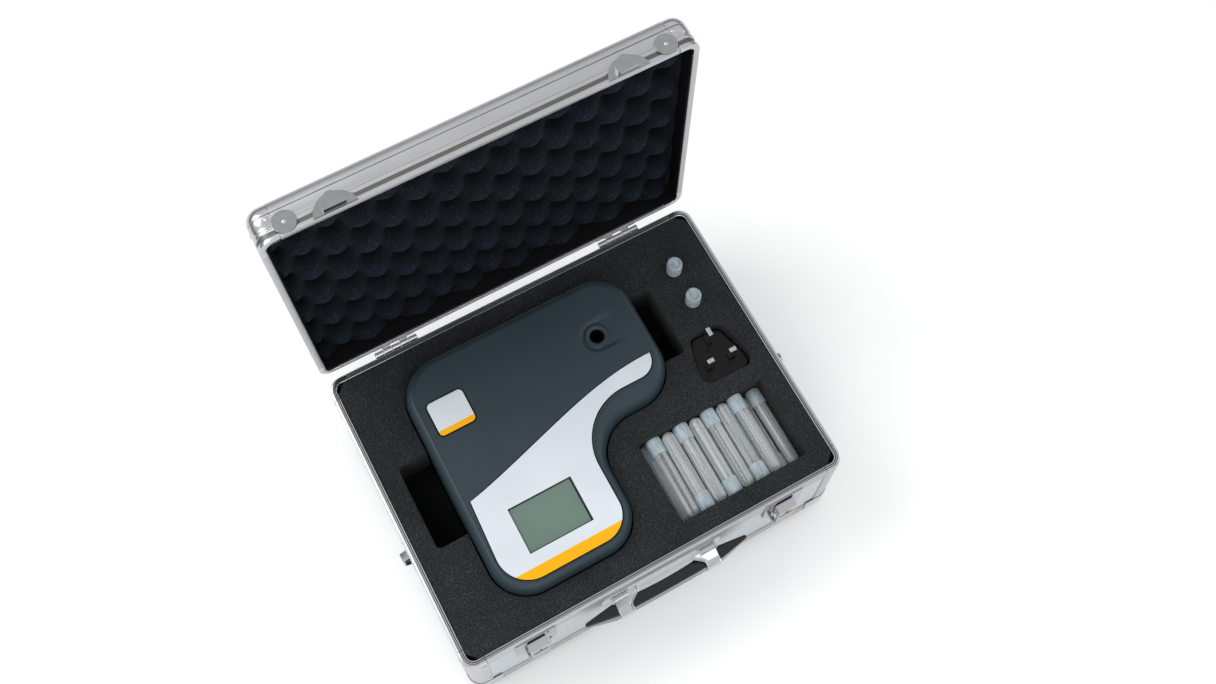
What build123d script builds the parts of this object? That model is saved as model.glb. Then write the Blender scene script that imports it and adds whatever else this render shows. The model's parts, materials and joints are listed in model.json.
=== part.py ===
"""Cased ferrous wear meter: an aluminium carry case with cut foam that holds
the meter, capped sample tubes and a plug head. The lid stands open.

X runs along the case's width, +Y towards the hinges and +Z up. The origin is
under the middle of the whole object, on the surface that it stands on.
"""
import math
import os

from build123d import *

os.makedirs("parts", exist_ok=True)

# ---------------------------------------------------------------- dimensions
case_width = 355.0
case_depth = 272.0
base_height = 116.0  # floor to the base's rim
lid_depth = 33.0
rim_gap = 1.0  # between the two rims when the lid is shut
rim_width = 5.5
plan_radius = 12.0  # the case's corners, seen from above
corner_leg = 18.0  # how far each corner piece reaches along a side
skin = 1.0  # aluminium rail skin
seam = 0.15  # open joint between neighbouring rails
panel = 3.0  # wall and roof board

hinge_set_back = 3.0  # hinge axis behind the back wall
hinge_drop = 2.0  # hinge axis below the base's rim
handle_reach = 18.0  # grip's front face to the front wall

whole_depth = handle_reach + case_depth + hinge_set_back + hinge_drop + rim_gap + lid_depth
front_y = handle_reach - whole_depth / 2
back_y = front_y + case_depth
mid_y = (front_y + back_y) / 2
hinge_y = back_y + hinge_set_back
hinge_z = base_height - hinge_drop
half_width = case_width / 2

# The foam's plan: its own corner is the origin of every pocket's position.
foam_gap = 0.5
foam_left = -half_width + rim_width
foam_front = front_y + rim_width
foam_top = base_height - 0.8
foam_split = 50.0  # where the cut layer meets the plain floor pad


def foam_point(x, y):
    """A point given from the foam's front left corner, in the part's frame."""
    return (foam_left + x, foam_front + y)


# The lid is drawn as it lies when shut, and this plane stands it open.
lid_open = Plane(
    origin=(0, hinge_y - hinge_z, hinge_z + hinge_y), x_dir=(1, 0, 0), z_dir=(0, 1, 0)
)


def on_lid(plane):
    """The given plane of the shut case, carried round with the open lid."""
    return Plane(lid_open.location * plane.location)


def save(piece, node):
    piece.part.label = node
    export_step(piece.part, f"parts/{node}.step")


# Each side of the case: middle of the wall, inward direction, run direction, length.
sides = [
    ((0, front_y), (0, 1, 0), (1, 0, 0), case_width),
    ((0, back_y), (0, -1, 0), (-1, 0, 0), case_width),
    ((-half_width, mid_y), (1, 0, 0), (0, -1, 0), case_depth),
    ((half_width, mid_y), (-1, 0, 0), (0, 1, 0), case_depth),
]


def side_plane(side, z):
    """Section plane of one side: x points inward from the wall, y points up."""
    (x, y), inward, run, _ = side
    return Plane(origin=(x, y, z), x_dir=inward, z_dir=run)


def corner_squares(leg, mode=Mode.INTERSECT):
    """Keeps only a square of the given leg at each corner of the case."""
    with GridLocations(case_width - leg, case_depth - leg, 2, 2):
        Rectangle(leg, leg, mode=mode)


case_plan = Plane((0, mid_y, 0))

# ---------------------------------------------------------------- base shell
rail_skirt_z = base_height - 12
panel_top = base_height - 10
bottom_z = 4.0  # underside of the shell, above the corner balls' feet
bottom_skirt = 16.0
groove = 1.2

with BuildPart() as bottom_panel:
    with BuildSketch(case_plan.offset(bottom_z + skin)):
        inset = 2 * (skin + panel) + 0.4
        RectangleRounded(case_width - inset, case_depth - inset, plan_radius - inset / 2)
    extrude(amount=panel)
save(bottom_panel, "base_bottom_panel")

with BuildPart() as wall_panels:
    for side in sides:
        length = side[3] - 2 * plan_radius
        with BuildSketch(side_plane(side, 0).offset(-length / 2)):
            with Locations((skin + panel / 2, (bottom_z + skin + panel_top) / 2)):
                Rectangle(panel, panel_top - bottom_z - skin)
        extrude(amount=length)
save(wall_panels, "base_wall_panels")

# Rim rail: a skirt over the wall board, a seat, and a grooved top.
with BuildPart() as base_rim_rails:
    for side in sides:
        length = side[3] - 2 * (corner_leg + seam)
        with BuildSketch(side_plane(side, 0).offset(-length / 2)):
            with BuildLine():
                Polyline(
                    (0, rail_skirt_z),
                    (skin, rail_skirt_z),
                    (skin, panel_top),
                    (rim_width, panel_top),
                    (rim_width, base_height),
                    (rim_width - 0.5, base_height),
                    (rim_width - 0.7, base_height - groove),
                    (rim_width - 1.8, base_height - groove),
                    (rim_width - 2.0, base_height),
                    (1.6, base_height),
                    (1.4, base_height - 0.4),
                    (1.1, base_height - 0.4),
                    (0.9, base_height),
                    (0.4, base_height),
                    (0, base_height - 0.4),
                    (0, base_height - 4.6),
                    (0.4, base_height - 5),
                    (0.4, base_height - 5.6),
                    (0, base_height - 6),
                    close=True,
                )
            make_face()
        extrude(amount=length)
save(base_rim_rails, "base_rim_rails")

with BuildPart() as base_rim_corners:
    with BuildSketch(case_plan.offset(rail_skirt_z)):
        RectangleRounded(case_width, case_depth, plan_radius)
        RectangleRounded(
            case_width - 2 * skin, case_depth - 2 * skin, plan_radius - skin, mode=Mode.SUBTRACT
        )
        corner_squares(corner_leg)
    extrude(amount=panel_top - rail_skirt_z)
    with BuildSketch(case_plan.offset(panel_top)):
        RectangleRounded(case_width, case_depth, plan_radius)
        RectangleRounded(
            case_width - 2 * rim_width,
            case_depth - 2 * rim_width,
            plan_radius - rim_width,
            mode=Mode.SUBTRACT,
        )
        corner_squares(corner_leg)
    extrude(amount=base_height - panel_top)
save(base_rim_corners, "base_rim_corners")

# Edge rails: four rounded corner posts and four bottom angles.
with BuildPart() as edge_rails:
    with BuildSketch(case_plan.offset(bottom_z)):
        RectangleRounded(case_width, case_depth, plan_radius)
        RectangleRounded(
            case_width - 2 * skin, case_depth - 2 * skin, plan_radius - skin, mode=Mode.SUBTRACT
        )
        corner_squares(corner_leg)
    extrude(amount=rail_skirt_z - bottom_z)
    with BuildSketch(case_plan.offset(bottom_z)):
        thick = skin + panel
        RectangleRounded(case_width, case_depth, plan_radius)
        RectangleRounded(
            case_width - 2 * thick, case_depth - 2 * thick, plan_radius - thick, mode=Mode.SUBTRACT
        )
        corner_squares(plan_radius)
    extrude(amount=rail_skirt_z - bottom_z)
    for side in sides:
        length = side[3] - 2 * (corner_leg + seam)
        with BuildSketch(side_plane(side, 0).offset(-length / 2)):
            with BuildLine():
                Polyline(
                    (0, bottom_z),
                    (bottom_skirt, bottom_z),
                    (bottom_skirt, bottom_z + skin),
                    (skin, bottom_z + skin),
                    (skin, bottom_z + bottom_skirt),
                    (0, bottom_z + bottom_skirt),
                    close=True,
                )
            make_face()
        extrude(amount=length)
save(edge_rails, "base_edge_rails")

# Corner balls: pressed caps over the bottom corners, which the case stands on.
ball_skin = 0.9
ball_top = 26.0
ball_leg = 28.0
with BuildPart() as corner_balls:
    with BuildSketch(case_plan):
        RectangleRounded(
            case_width + 2 * ball_skin, case_depth + 2 * ball_skin, plan_radius + ball_skin
        )
    extrude(amount=ball_top)
    fillet(corner_balls.faces().sort_by(Axis.Z)[0].edges(), radius=7)
    with BuildSketch(case_plan.offset(bottom_z)):
        RectangleRounded(case_width, case_depth, plan_radius)
    extrude(amount=ball_top, mode=Mode.SUBTRACT)
    with BuildSketch(case_plan):
        with GridLocations(case_width - ball_leg + 4, case_depth - ball_leg + 4, 2, 2):
            Rectangle(ball_leg, ball_leg)
    extrude(amount=ball_top, mode=Mode.INTERSECT)
save(corner_balls, "base_corner_balls")

# Rivets: dome heads along the corner pieces.
rivet_radius = 1.9
rivet_rise = 0.7


def wall_spot(side, along, z):
    """Plane on a side's outer face, facing out, at a distance along the wall."""
    (x, y), inward, run, _ = side
    spot = (x + run[0] * along, y + run[1] * along, z)
    return Plane(origin=spot, x_dir=run, z_dir=(-inward[0], -inward[1], 0))


with BuildPart() as base_rivets:
    for side in sides:
        reach = side[3] / 2 - 14.5
        for along in (-reach, reach):
            for z in (base_height - 17, 62, 36):
                with BuildSketch(wall_spot(side, along, z)):
                    Circle(rivet_radius)
                extrude(amount=rivet_rise)
save(base_rivets, "base_rivets")

# ---------------------------------------------------------------- meter outline
meter_rise = 16.0  # the meter's flat top above the case's rim
meter_height = 62.0
meter_top = base_height + meter_rise
meter_bottom = meter_top - meter_height
shell_split = meter_bottom + 30
shoulder_z = meter_top - 13  # where the wall turns into the sloping shoulder
plateau_z = meter_top - 1.2
housing_wall = 2.5

# Corner points and radii, anticlockwise from the front left.
wall_corners = [(45.5, 22), (172, 22), (172, 118.5), (260, 118.5), (260, 241), (45.5, 241)]
wall_radii = [34, 32, 38, 36, 33, 36]
plateau_corners = [
    (52.5, 27.5), (165.5, 27.5), (165.5, 134.5), (253, 134.5), (253, 234), (52.5, 234)
]
plateau_radii = [29, 26, 50, 27, 28, 30]


def meter_outline(corners, radii):
    """The meter's outline: straight runs joined by tangent arcs."""
    FilletPolyline(*[foam_point(*corner) for corner in corners], radius=radii, close=True)


# ---------------------------------------------------------------- foam
pocket_gap = 1.5
pocket_floor = meter_bottom - 0.2
notch_floor = base_height - 38
tray_left, tray_right = 203.0, 325.0
tray_front, tray_back = 16.8, 92.3
tube_overall = 74.6
cap_radius = 7.0
tube_radius = 6.0
upper_row_z = base_height - 11
lower_row_z = upper_row_z - 12.6
tray_floor = lower_row_z - cap_radius - 0.15
tube_spots = [(309.6, 216.0), (309.6, 182.6)]  # the two upright tubes
tube_hole = 6.4
upright_seat = base_height - 60.7
plug_centre = (304.5, 131.0)
plug_face_z = base_height - 10
plug_thickness = 13.0

foam_width = case_width - 2 * (rim_width + foam_gap)
foam_depth = case_depth - 2 * (rim_width + foam_gap)
foam_chamfer = 8.0


def foam_block(low, high):
    with BuildSketch(case_plan.offset(low)) as sketch:
        Rectangle(foam_width, foam_depth)
        chamfer(sketch.vertices(), foam_chamfer)
    extrude(sketch.sketch, amount=high - low)


def plug_outline(grow):
    """The plug head's rounded wedge, seen from above, grown by a clearance."""
    x, y = foam_point(*plug_centre)
    FilletPolyline(
        (x - 23.5 - grow, y - 22 - grow),
        (x + 23.5 + grow, y - 22 - grow),
        (x + 22.5 + grow, y - 6),
        (x + 14 + grow, y + 22.5 + grow),
        (x - 14 - grow, y + 22.5 + grow),
        (x - 22.5 - grow, y - 6),
        radius=[9, 9, 9, 8, 8, 9],
        close=True,
    )


with BuildPart() as foam_floor:
    foam_block(bottom_z + skin + panel + 0.2, foam_split - 0.2)
save(foam_floor, "foam_floor")

with BuildPart() as foam_insert:
    foam_block(foam_split, foam_top)
    with BuildSketch(Plane.XY.offset(pocket_floor)):
        with BuildLine():
            meter_outline(wall_corners, wall_radii)
        make_face()
        offset(amount=pocket_gap)
    extrude(amount=meter_height, mode=Mode.SUBTRACT)
    # finger notches each side of the meter
    for low, high in [((17, 92.7), (60, 170.6)), ((245, 144.6), (281, 211.4))]:
        middle = foam_point((low[0] + high[0]) / 2, (low[1] + high[1]) / 2)
        with BuildSketch(Plane.XY.offset(notch_floor)):
            with Locations(middle):
                RectangleRounded(high[0] - low[0], high[1] - low[1], 5)
        extrude(amount=meter_height, mode=Mode.SUBTRACT)
    # tube tray
    with BuildSketch(Plane.XY.offset(tray_floor)):
        with Locations(foam_point((tray_left + tray_right) / 2, (tray_front + tray_back) / 2)):
            RectangleRounded(tray_right - tray_left, tray_back - tray_front, 2)
    extrude(amount=meter_height, mode=Mode.SUBTRACT)
    # plug pocket
    with BuildSketch(Plane.XY.offset(plug_face_z - plug_thickness - 0.3)):
        with BuildLine():
            plug_outline(1.2)
        make_face()
    extrude(amount=meter_height, mode=Mode.SUBTRACT)
    # holes for the upright tubes
    with BuildSketch(Plane.XY.offset(upright_seat - 0.3)):
        with Locations(*[foam_point(*spot) for spot in tube_spots]):
            Circle(tube_hole)
    extrude(amount=meter_height, mode=Mode.SUBTRACT)
save(foam_insert, "foam_insert")

# ---------------------------------------------------------------- hinges
hinge_centres = (-110.0, 110.0)
hinge_width = 40.0
knuckle_radius = 2.6
pin_radius = 1.25
leaf = 1.2
knuckle = hinge_width / 5
running_gap = 0.05
knuckle_gap = 0.2


def knuckles(frame, centre, slots, bore, leaf_ends):
    """Hinge barrels in the given slots, each with its web to the leaf's plane."""
    for slot in slots:
        start = centre - hinge_width / 2 + slot * knuckle + knuckle_gap
        length = knuckle - 2 * knuckle_gap
        plane = frame(Plane(origin=(start, 0, 0), x_dir=(0, 1, 0), z_dir=(1, 0, 0)))
        with BuildSketch(plane) as barrel:
            with Locations((hinge_y, hinge_z)):
                Circle(knuckle_radius)
            with Locations((back_y + leaf / 2, (hinge_z + leaf_ends) / 2)):
                Rectangle(leaf, abs(leaf_ends - hinge_z))
            with Locations((hinge_y, hinge_z)):
                Circle(bore, mode=Mode.SUBTRACT)
        extrude(barrel.sketch, amount=length)


def as_drawn(plane):
    return plane


base_leaf_top = hinge_z - 3.2
lid_leaf_low = hinge_z + 3.2
with BuildPart() as hinge_base_leaves:
    for centre in hinge_centres:
        with BuildSketch(Plane.XZ.offset(-back_y - leaf)):
            with Locations((centre, (base_leaf_top + 90) / 2)):
                RectangleRounded(hinge_width, base_leaf_top - 90, 1.5)
        extrude(amount=leaf)
        knuckles(as_drawn, centre, (0, 2, 4), pin_radius, base_leaf_top - 2)
save(hinge_base_leaves, "hinge_base_leaves")

with BuildPart() as hinge_lid_leaves:
    for centre in hinge_centres:
        with BuildSketch(on_lid(Plane.XZ.offset(-back_y - leaf))):
            with Locations((centre, (lid_leaf_low + 137) / 2)):
                RectangleRounded(hinge_width, 137 - lid_leaf_low, 1.5)
        extrude(amount=leaf)
        knuckles(on_lid, centre, (1, 3), pin_radius + running_gap, lid_leaf_low + 2)
save(hinge_lid_leaves, "hinge_lid_leaves")

with BuildPart() as hinge_pins:
    for centre in hinge_centres:
        with BuildSketch(Plane(origin=(centre - hinge_width / 2, hinge_y, hinge_z), z_dir=(1, 0, 0))):
            Circle(pin_radius)
        extrude(amount=hinge_width)
save(hinge_pins, "hinge_pins")

# ---------------------------------------------------------------- lid
lid_rim = base_height + rim_gap
lid_top = lid_rim + lid_depth
roof_radius = 11.5
lid_skin = 1.6
lip_height = 6.0
flange = 17.5
roof_under = lid_top - lid_skin
foam_face = lid_rim + 8  # crests of the lid foam

with BuildPart() as lid_roof_panel:
    roof_inset = 13.0
    with BuildSketch(on_lid(case_plan.offset(roof_under - panel))):
        Rectangle(case_width - 2 * roof_inset, case_depth - 2 * roof_inset)
    extrude(amount=panel)
save(lid_roof_panel, "lid_roof_panel")

# Lid rails: ribbed walls that roll over into a flange on the roof board.
with BuildPart() as lid_side_rails:
    for side in sides:
        length = side[3] - 2 * (corner_leg + seam)
        arc_z = lid_top - roof_radius
        inner = roof_radius - lid_skin
        with BuildSketch(on_lid(side_plane(side, 0)).offset(-length / 2)):
            with BuildLine():
                Polyline(
                    (rim_width, lid_rim + lip_height),
                    (rim_width, lid_rim),
                    (0.4, lid_rim),
                    (0, lid_rim + 0.4),
                    (0, lid_rim + 4),
                    (0.6, lid_rim + 4.6),
                    (0.6, lid_rim + 7.4),
                    (0, lid_rim + 8),
                    (0, lid_rim + 11.5),
                    (0.4, lid_rim + 11.9),
                    (0.4, lid_rim + 12.5),
                    (0, lid_rim + 12.9),
                    (0, arc_z),
                )
                RadiusArc((0, arc_z), (roof_radius, lid_top), roof_radius)
                Polyline(
                    (roof_radius, lid_top),
                    (flange, lid_top),
                    (flange, roof_under),
                    (roof_radius, roof_under),
                )
                RadiusArc((roof_radius, roof_under), (lid_skin, arc_z), -inner)
                Polyline(
                    (lid_skin, arc_z),
                    (lid_skin, lid_rim + lip_height),
                    (rim_width, lid_rim + lip_height),
                )
            make_face()
        extrude(amount=length)
save(lid_side_rails, "lid_side_rails")

with BuildPart() as lid_corners:
    with BuildSketch(on_lid(case_plan.offset(lid_rim))):
        RectangleRounded(case_width, case_depth, plan_radius)
    extrude(amount=lid_depth)
    fillet(lid_corners.faces().sort_by(Axis.Y)[-1].edges(), radius=roof_radius)
    with BuildPart(mode=Mode.PRIVATE) as inside:
        with BuildSketch(on_lid(case_plan.offset(lid_rim))):
            RectangleRounded(
                case_width - 2 * lid_skin, case_depth - 2 * lid_skin, plan_radius - lid_skin
            )
        extrude(amount=lid_depth - lid_skin)
        fillet(inside.faces().sort_by(Axis.Y)[-1].edges(), radius=roof_radius - lid_skin)
    add(inside.part, mode=Mode.SUBTRACT)
    with BuildSketch(on_lid(case_plan.offset(lid_rim))):
        RectangleRounded(case_width, case_depth, plan_radius)
        RectangleRounded(
            case_width - 2 * rim_width,
            case_depth - 2 * rim_width,
            plan_radius - rim_width,
            mode=Mode.SUBTRACT,
        )
    extrude(amount=lip_height)
    with BuildSketch(on_lid(case_plan.offset(lid_rim))):
        corner_squares(corner_leg, mode=Mode.ADD)
    extrude(amount=lid_depth, mode=Mode.INTERSECT)
save(lid_corners, "lid_corners")

with BuildPart() as lid_foam:
    with BuildSketch(on_lid(case_plan.offset(foam_face))) as lid_foam_plan:
        Rectangle(case_width - 2 * rim_width - 1, case_depth - 2 * rim_width - 1)
        chamfer(lid_foam_plan.vertices(), foam_chamfer)
    extrude(amount=roof_under - panel - 0.2 - foam_face)
save(lid_foam, "lid_foam")

clip_radius = 9.0
clip_inset = 25.0
with BuildPart() as lid_corner_clips:
    for along in (clip_inset - half_width, half_width - clip_inset):
        with BuildSketch(on_lid(wall_spot(sides[0], along, lid_rim + 9.2))):
            Circle(clip_radius)
        extrude(amount=1)
save(lid_corner_clips, "lid_corner_clips")

with BuildPart() as lid_rivets:
    for along in (clip_inset - half_width, half_width - clip_inset):
        with BuildSketch(on_lid(wall_spot(sides[0], along, lid_rim + 9.2)).offset(1)):
            Circle(rivet_radius)
        extrude(amount=rivet_rise)
    for side in sides:
        reach = side[3] / 2 - 14.5
        for along in (-reach, reach):
            with BuildSketch(on_lid(wall_spot(side, along, lid_rim + 17))):
                Circle(rivet_radius)
            extrude(amount=rivet_rise)
save(lid_rivets, "lid_rivets")

# ---------------------------------------------------------------- latches
latch_centres = {"left": -117.0, "right": 117.0}
plate_thick = 1.4
plate_top = rail_skirt_z + 9
plate_low = 78.0  # where the plate's rounded foot starts
plate_half = 18.0
lever_width = 17.0
lever_top = base_height - 12.0
lever_pivot_z = base_height - 46.0
lever_pivot_y = front_y - 4.6
lever_skin = 1.2
lever_out = 8.6
claw_slot = 10.4

with BuildPart() as latch_plates:
    for centre in latch_centres.values():
        with BuildSketch(Plane.XZ.offset(-front_y)) as plate:
            with BuildLine():
                Polyline(
                    (centre - plate_half, plate_low),
                    (centre - plate_half, plate_top),
                    (centre + plate_half, plate_top),
                    (centre + plate_half, plate_low),
                )
                RadiusArc(
                    (centre + plate_half, plate_low), (centre - plate_half, plate_low), plate_half + 2
                )
            make_face()
            with Locations((centre, plate_top - 3)):
                Rectangle(claw_slot, 2.4, mode=Mode.SUBTRACT)
        extrude(amount=plate_thick)
        # two ears carry the lever's pin
        for ear in (-lever_width / 2 - 1.6, lever_width / 2 + 0.3):
            with BuildSketch(Plane(origin=(centre + ear, 0, 0), x_dir=(0, 1, 0), z_dir=(1, 0, 0))):
                with Locations((lever_pivot_y, lever_pivot_z)):
                    Circle(2.6)
                with Locations(((lever_pivot_y + front_y) / 2, lever_pivot_z)):
                    Rectangle(front_y - lever_pivot_y, 5.2)
            extrude(amount=1.3)
        with BuildSketch(
            Plane(
                origin=(centre - lever_width / 2 - 1.6, lever_pivot_y, lever_pivot_z),
                z_dir=(1, 0, 0),
            )
        ):
            Circle(pin_radius)
        extrude(amount=lever_width + 3.2)
save(latch_plates, "latch_plates")

for hand, centre in latch_centres.items():
    # The lever: a pressed box, open towards the wall, that turns on the pin.
    with BuildPart() as lever:
        start = Plane(origin=(centre - lever_width / 2, 0, 0), x_dir=(0, 1, 0), z_dir=(1, 0, 0))
        back = front_y - plate_thick - 0.5
        with BuildSketch(start):
            with BuildLine():
                Polyline(
                    (back, lever_pivot_z + 6),
                    (back, lever_top),
                    (front_y - lever_out, lever_top - 1.5),
                    (front_y - lever_out, lever_pivot_z - 2),
                    (lever_pivot_y, lever_pivot_z - 3),
                    (lever_pivot_y + 2.2, lever_pivot_z),
                    close=True,
                )
            make_face()
        extrude(amount=lever_width)
        with BuildSketch(start.offset(lever_skin)):
            with BuildLine():
                Polyline(
                    (back + 1, lever_pivot_z + 5),
                    (back + 1, lever_top - lever_skin),
                    (front_y - lever_out + lever_skin, lever_top - lever_skin - 1.5),
                    (front_y - lever_out + lever_skin, lever_pivot_z + 5),
                    close=True,
                )
            make_face()
        extrude(amount=lever_width - 2 * lever_skin, mode=Mode.SUBTRACT)
        with BuildSketch(start):
            with Locations((lever_pivot_y, lever_pivot_z)):
                Circle(pin_radius + running_gap)
        extrude(amount=lever_width, mode=Mode.SUBTRACT)
    save(lever, f"latch_lever_{hand}")

    # The claw: a steel hook that the lever drives up and down behind its face.
    with BuildPart() as claw:
        with BuildSketch(
            Plane(origin=(centre - 4, 0, 0), x_dir=(0, 1, 0), z_dir=(1, 0, 0))
        ):
            claw_back = front_y - plate_thick - 1.9
            with BuildLine():
                Polyline(
                    (claw_back, lever_pivot_z + 10),
                    (claw_back, lever_top - 3.4),
                    (claw_back - 3.2, lever_top - 3.4),
                    (claw_back - 3.2, lever_top - 6),
                    (claw_back - 1.4, lever_top - 6),
                    (claw_back - 1.4, lever_pivot_z + 10),
                    close=True,
                )
            make_face()
        extrude(amount=8)
    save(claw, f"latch_claw_{hand}")

# Keepers: half-round plates on the lid's front wall with a raised block each.
with BuildPart() as latch_keepers:
    for centre in latch_centres.values():
        with BuildSketch(on_lid(Plane.XZ.offset(-front_y))):
            with BuildLine():
                Line((centre - 17, lid_rim + 0.6), (centre + 17, lid_rim + 0.6))
                RadiusArc((centre + 17, lid_rim + 0.6), (centre - 17, lid_rim + 0.6), -17.2)
            make_face()
        extrude(amount=1.2)
        with BuildSketch(on_lid(Plane.XZ.offset(-front_y + 1))):
            with BuildLine():
                FilletPolyline(
                    (centre - 9, lid_rim + 1.2),
                    (centre + 9, lid_rim + 1.2),
                    (centre + 9, lid_rim + 9),
                    (centre, lid_rim + 15),
                    (centre - 9, lid_rim + 9),
                    radius=[0.8, 0.8, 2, 5, 2],
                    close=True,
                )
            make_face()
        extrude(amount=5)
save(latch_keepers, "latch_keepers")

# ---------------------------------------------------------------- handle
handle_pivot_y = front_y - 4.0
handle_pivot_z = 99.0
link_centres = (-41.0, 41.0)
link_width = 13.0
mount_face = front_y + skin
handle_pin = 1.5


def handle_section(x):
    """Section plane across the handle at x: x is depth, y is height."""
    return Plane(origin=(x, 0, 0), x_dir=(0, 1, 0), z_dir=(1, 0, 0))


with BuildPart() as handle_mount:
    with BuildSketch(Plane.XZ.offset(-mount_face)):
        with Locations((0, 92)):
            RectangleRounded(112, 22, 4)
    extrude(amount=skin + 0.6)
    for centre in link_centres:
        for ear in (-link_width / 2 - 1.8, link_width / 2 + 0.3):
            with BuildSketch(handle_section(centre + ear)):
                with Locations((handle_pivot_y, handle_pivot_z)):
                    Circle(3.2)
                with Locations(((handle_pivot_y + front_y) / 2, handle_pivot_z)):
                    Rectangle(front_y - handle_pivot_y, 6.4)
            extrude(amount=1.5)
        with BuildSketch(handle_section(centre - link_width / 2 - 1.8)):
            with Locations((handle_pivot_y, handle_pivot_z)):
                Circle(handle_pin)
        extrude(amount=link_width + 3.6)
save(handle_mount, "handle_mount")

grip_top = handle_pivot_z - 4.4
grip_height = 20.0
with BuildPart() as handle_links:
    for centre in link_centres:
        with BuildSketch(handle_section(centre - link_width / 2)):
            with Locations((handle_pivot_y, handle_pivot_z)):
                Circle(3.1)
            with BuildLine():
                Polyline(
                    (handle_pivot_y, handle_pivot_z - 3.1),
                    (handle_pivot_y, handle_pivot_z - 1.2),
                    (front_y - handle_reach + 1.5, grip_top + 1.8),
                    (front_y - handle_reach, grip_top + 0.4),
                    (front_y - handle_reach, grip_top - 14),
                    (front_y - handle_reach + 1.6, grip_top - 14),
                    (front_y - handle_reach + 1.6, grip_top + 0.1),
                    close=True,
                )
            make_face()
            with Locations((handle_pivot_y, handle_pivot_z)):
                Circle(handle_pin + running_gap, mode=Mode.SUBTRACT)
        extrude(amount=link_width)
save(handle_links, "handle_links")

grip_half = 76.5
grip_front = front_y - handle_reach + 1.7
with BuildPart() as handle_grip:
    with BuildSketch(Plane.XY.offset(grip_top - grip_height)):
        with BuildLine():
            ThreePointArc((-50, grip_front + 0.6), (0, grip_front), (50, grip_front + 0.6))
            Polyline(
                (50, grip_front + 0.6),
                (grip_half, front_y - 11),
                (grip_half, front_y - 8),
                (50, front_y - 4.8),
                (34, front_y - 5.4),
            )
            ThreePointArc((34, front_y - 5.4), (0, front_y - 7), (-34, front_y - 5.4))
            Polyline(
                (-34, front_y - 5.4),
                (-50, front_y - 4.8),
                (-grip_half, front_y - 8),
                (-grip_half, front_y - 11),
                (-50, grip_front + 0.6),
            )
        make_face()
    extrude(amount=grip_height - 0.4)
    # the ends taper from below towards the points
    for end in (-1, 1):
        with BuildSketch(Plane.XZ.offset(-front_y)):
            with BuildLine():
                Polyline(
                    (end * 50, grip_top - grip_height - 1),
                    (end * (grip_half + 1), grip_top - grip_height - 1),
                    (end * (grip_half + 1), grip_top - 7),
                    close=True,
                )
            make_face()
        extrude(amount=30, both=True, mode=Mode.SUBTRACT)
save(handle_grip, "handle_grip")

# ---------------------------------------------------------------- strap brackets
strap_y = front_y + rim_width + 105.5
with BuildPart() as strap_brackets:
    for end in (-1, 1):
        wall = Plane(origin=(end * (half_width - skin), strap_y, 88), x_dir=(0, 1, 0), z_dir=(end, 0, 0))
        with BuildSketch(wall):
            RectangleRounded(21, 32, 3)
        extrude(amount=skin + 0.8)
        # a bowed bar that a strap's hook closes round
        with BuildSketch(Plane.XZ.offset(-strap_y - 3.5)):
            with BuildLine():
                Polyline(
                    (end * half_width, 102),
                    (end * (half_width + 7.0), 98),
                    (end * (half_width + 7.0), 78),
                    (end * half_width, 74),
                    (end * half_width, 76.4),
                    (end * (half_width + 5.4), 79.6),
                    (end * (half_width + 5.4), 96.4),
                    (end * half_width, 99.6),
                    close=True,
                )
            make_face()
        extrude(amount=7)
save(strap_brackets, "strap_brackets")

# ---------------------------------------------------------------- meter
well_spot = foam_point(216.4, 188.7)
well_radius = 6.4
well_depth = 50.0
lcd_low, lcd_high = (80.5, 50.0), (138.5, 91.0)
lcd_middle = foam_point((lcd_low[0] + lcd_high[0]) / 2, (lcd_low[1] + lcd_high[1]) / 2)
lcd_width = lcd_high[0] - lcd_low[0]
lcd_height = lcd_high[1] - lcd_low[1]
label = 0.6
badge_middle = foam_point(76.5, 187.0)

with BuildPart() as meter_bottom_housing:
    with BuildSketch(Plane.XY.offset(meter_bottom)):
        with BuildLine():
            meter_outline(wall_corners, wall_radii)
        make_face()
    extrude(amount=shell_split - meter_bottom)
    with BuildSketch(Plane.XY.offset(meter_bottom + housing_wall)):
        with BuildLine():
            meter_outline(wall_corners, wall_radii)
        make_face()
        offset(amount=-housing_wall)
    extrude(amount=meter_height, mode=Mode.SUBTRACT)
save(meter_bottom_housing, "meter_bottom_housing")

with BuildPart() as meter_top_housing:
    with BuildSketch(Plane.XY.offset(shell_split)):
        with BuildLine():
            meter_outline(wall_corners, wall_radii)
        make_face()
    extrude(amount=shoulder_z - shell_split)
    with BuildSketch(Plane.XY.offset(shoulder_z)):
        with BuildLine():
            meter_outline(wall_corners, wall_radii)
        make_face()
    with BuildSketch(Plane.XY.offset(plateau_z)):
        with BuildLine():
            meter_outline(plateau_corners, plateau_radii)
        make_face()
    loft(ruled=True)
    with BuildSketch(Plane.XY.offset(plateau_z)):
        with BuildLine():
            meter_outline(plateau_corners, plateau_radii)
        make_face()
    extrude(amount=meter_top - plateau_z)
    with BuildSketch(Plane.XY.offset(shell_split)):
        with BuildLine():
            meter_outline(wall_corners, wall_radii)
        make_face()
        offset(amount=-housing_wall - 9)
    extrude(amount=meter_top - housing_wall - shell_split, mode=Mode.SUBTRACT)
    with BuildSketch(Plane.XY.offset(shell_split)):
        with Locations(lcd_middle):
            Rectangle(lcd_width, lcd_height)
        with Locations(well_spot):
            Circle(well_radius)
    extrude(amount=meter_height, mode=Mode.SUBTRACT)
save(meter_top_housing, "meter_top_housing")

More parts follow.
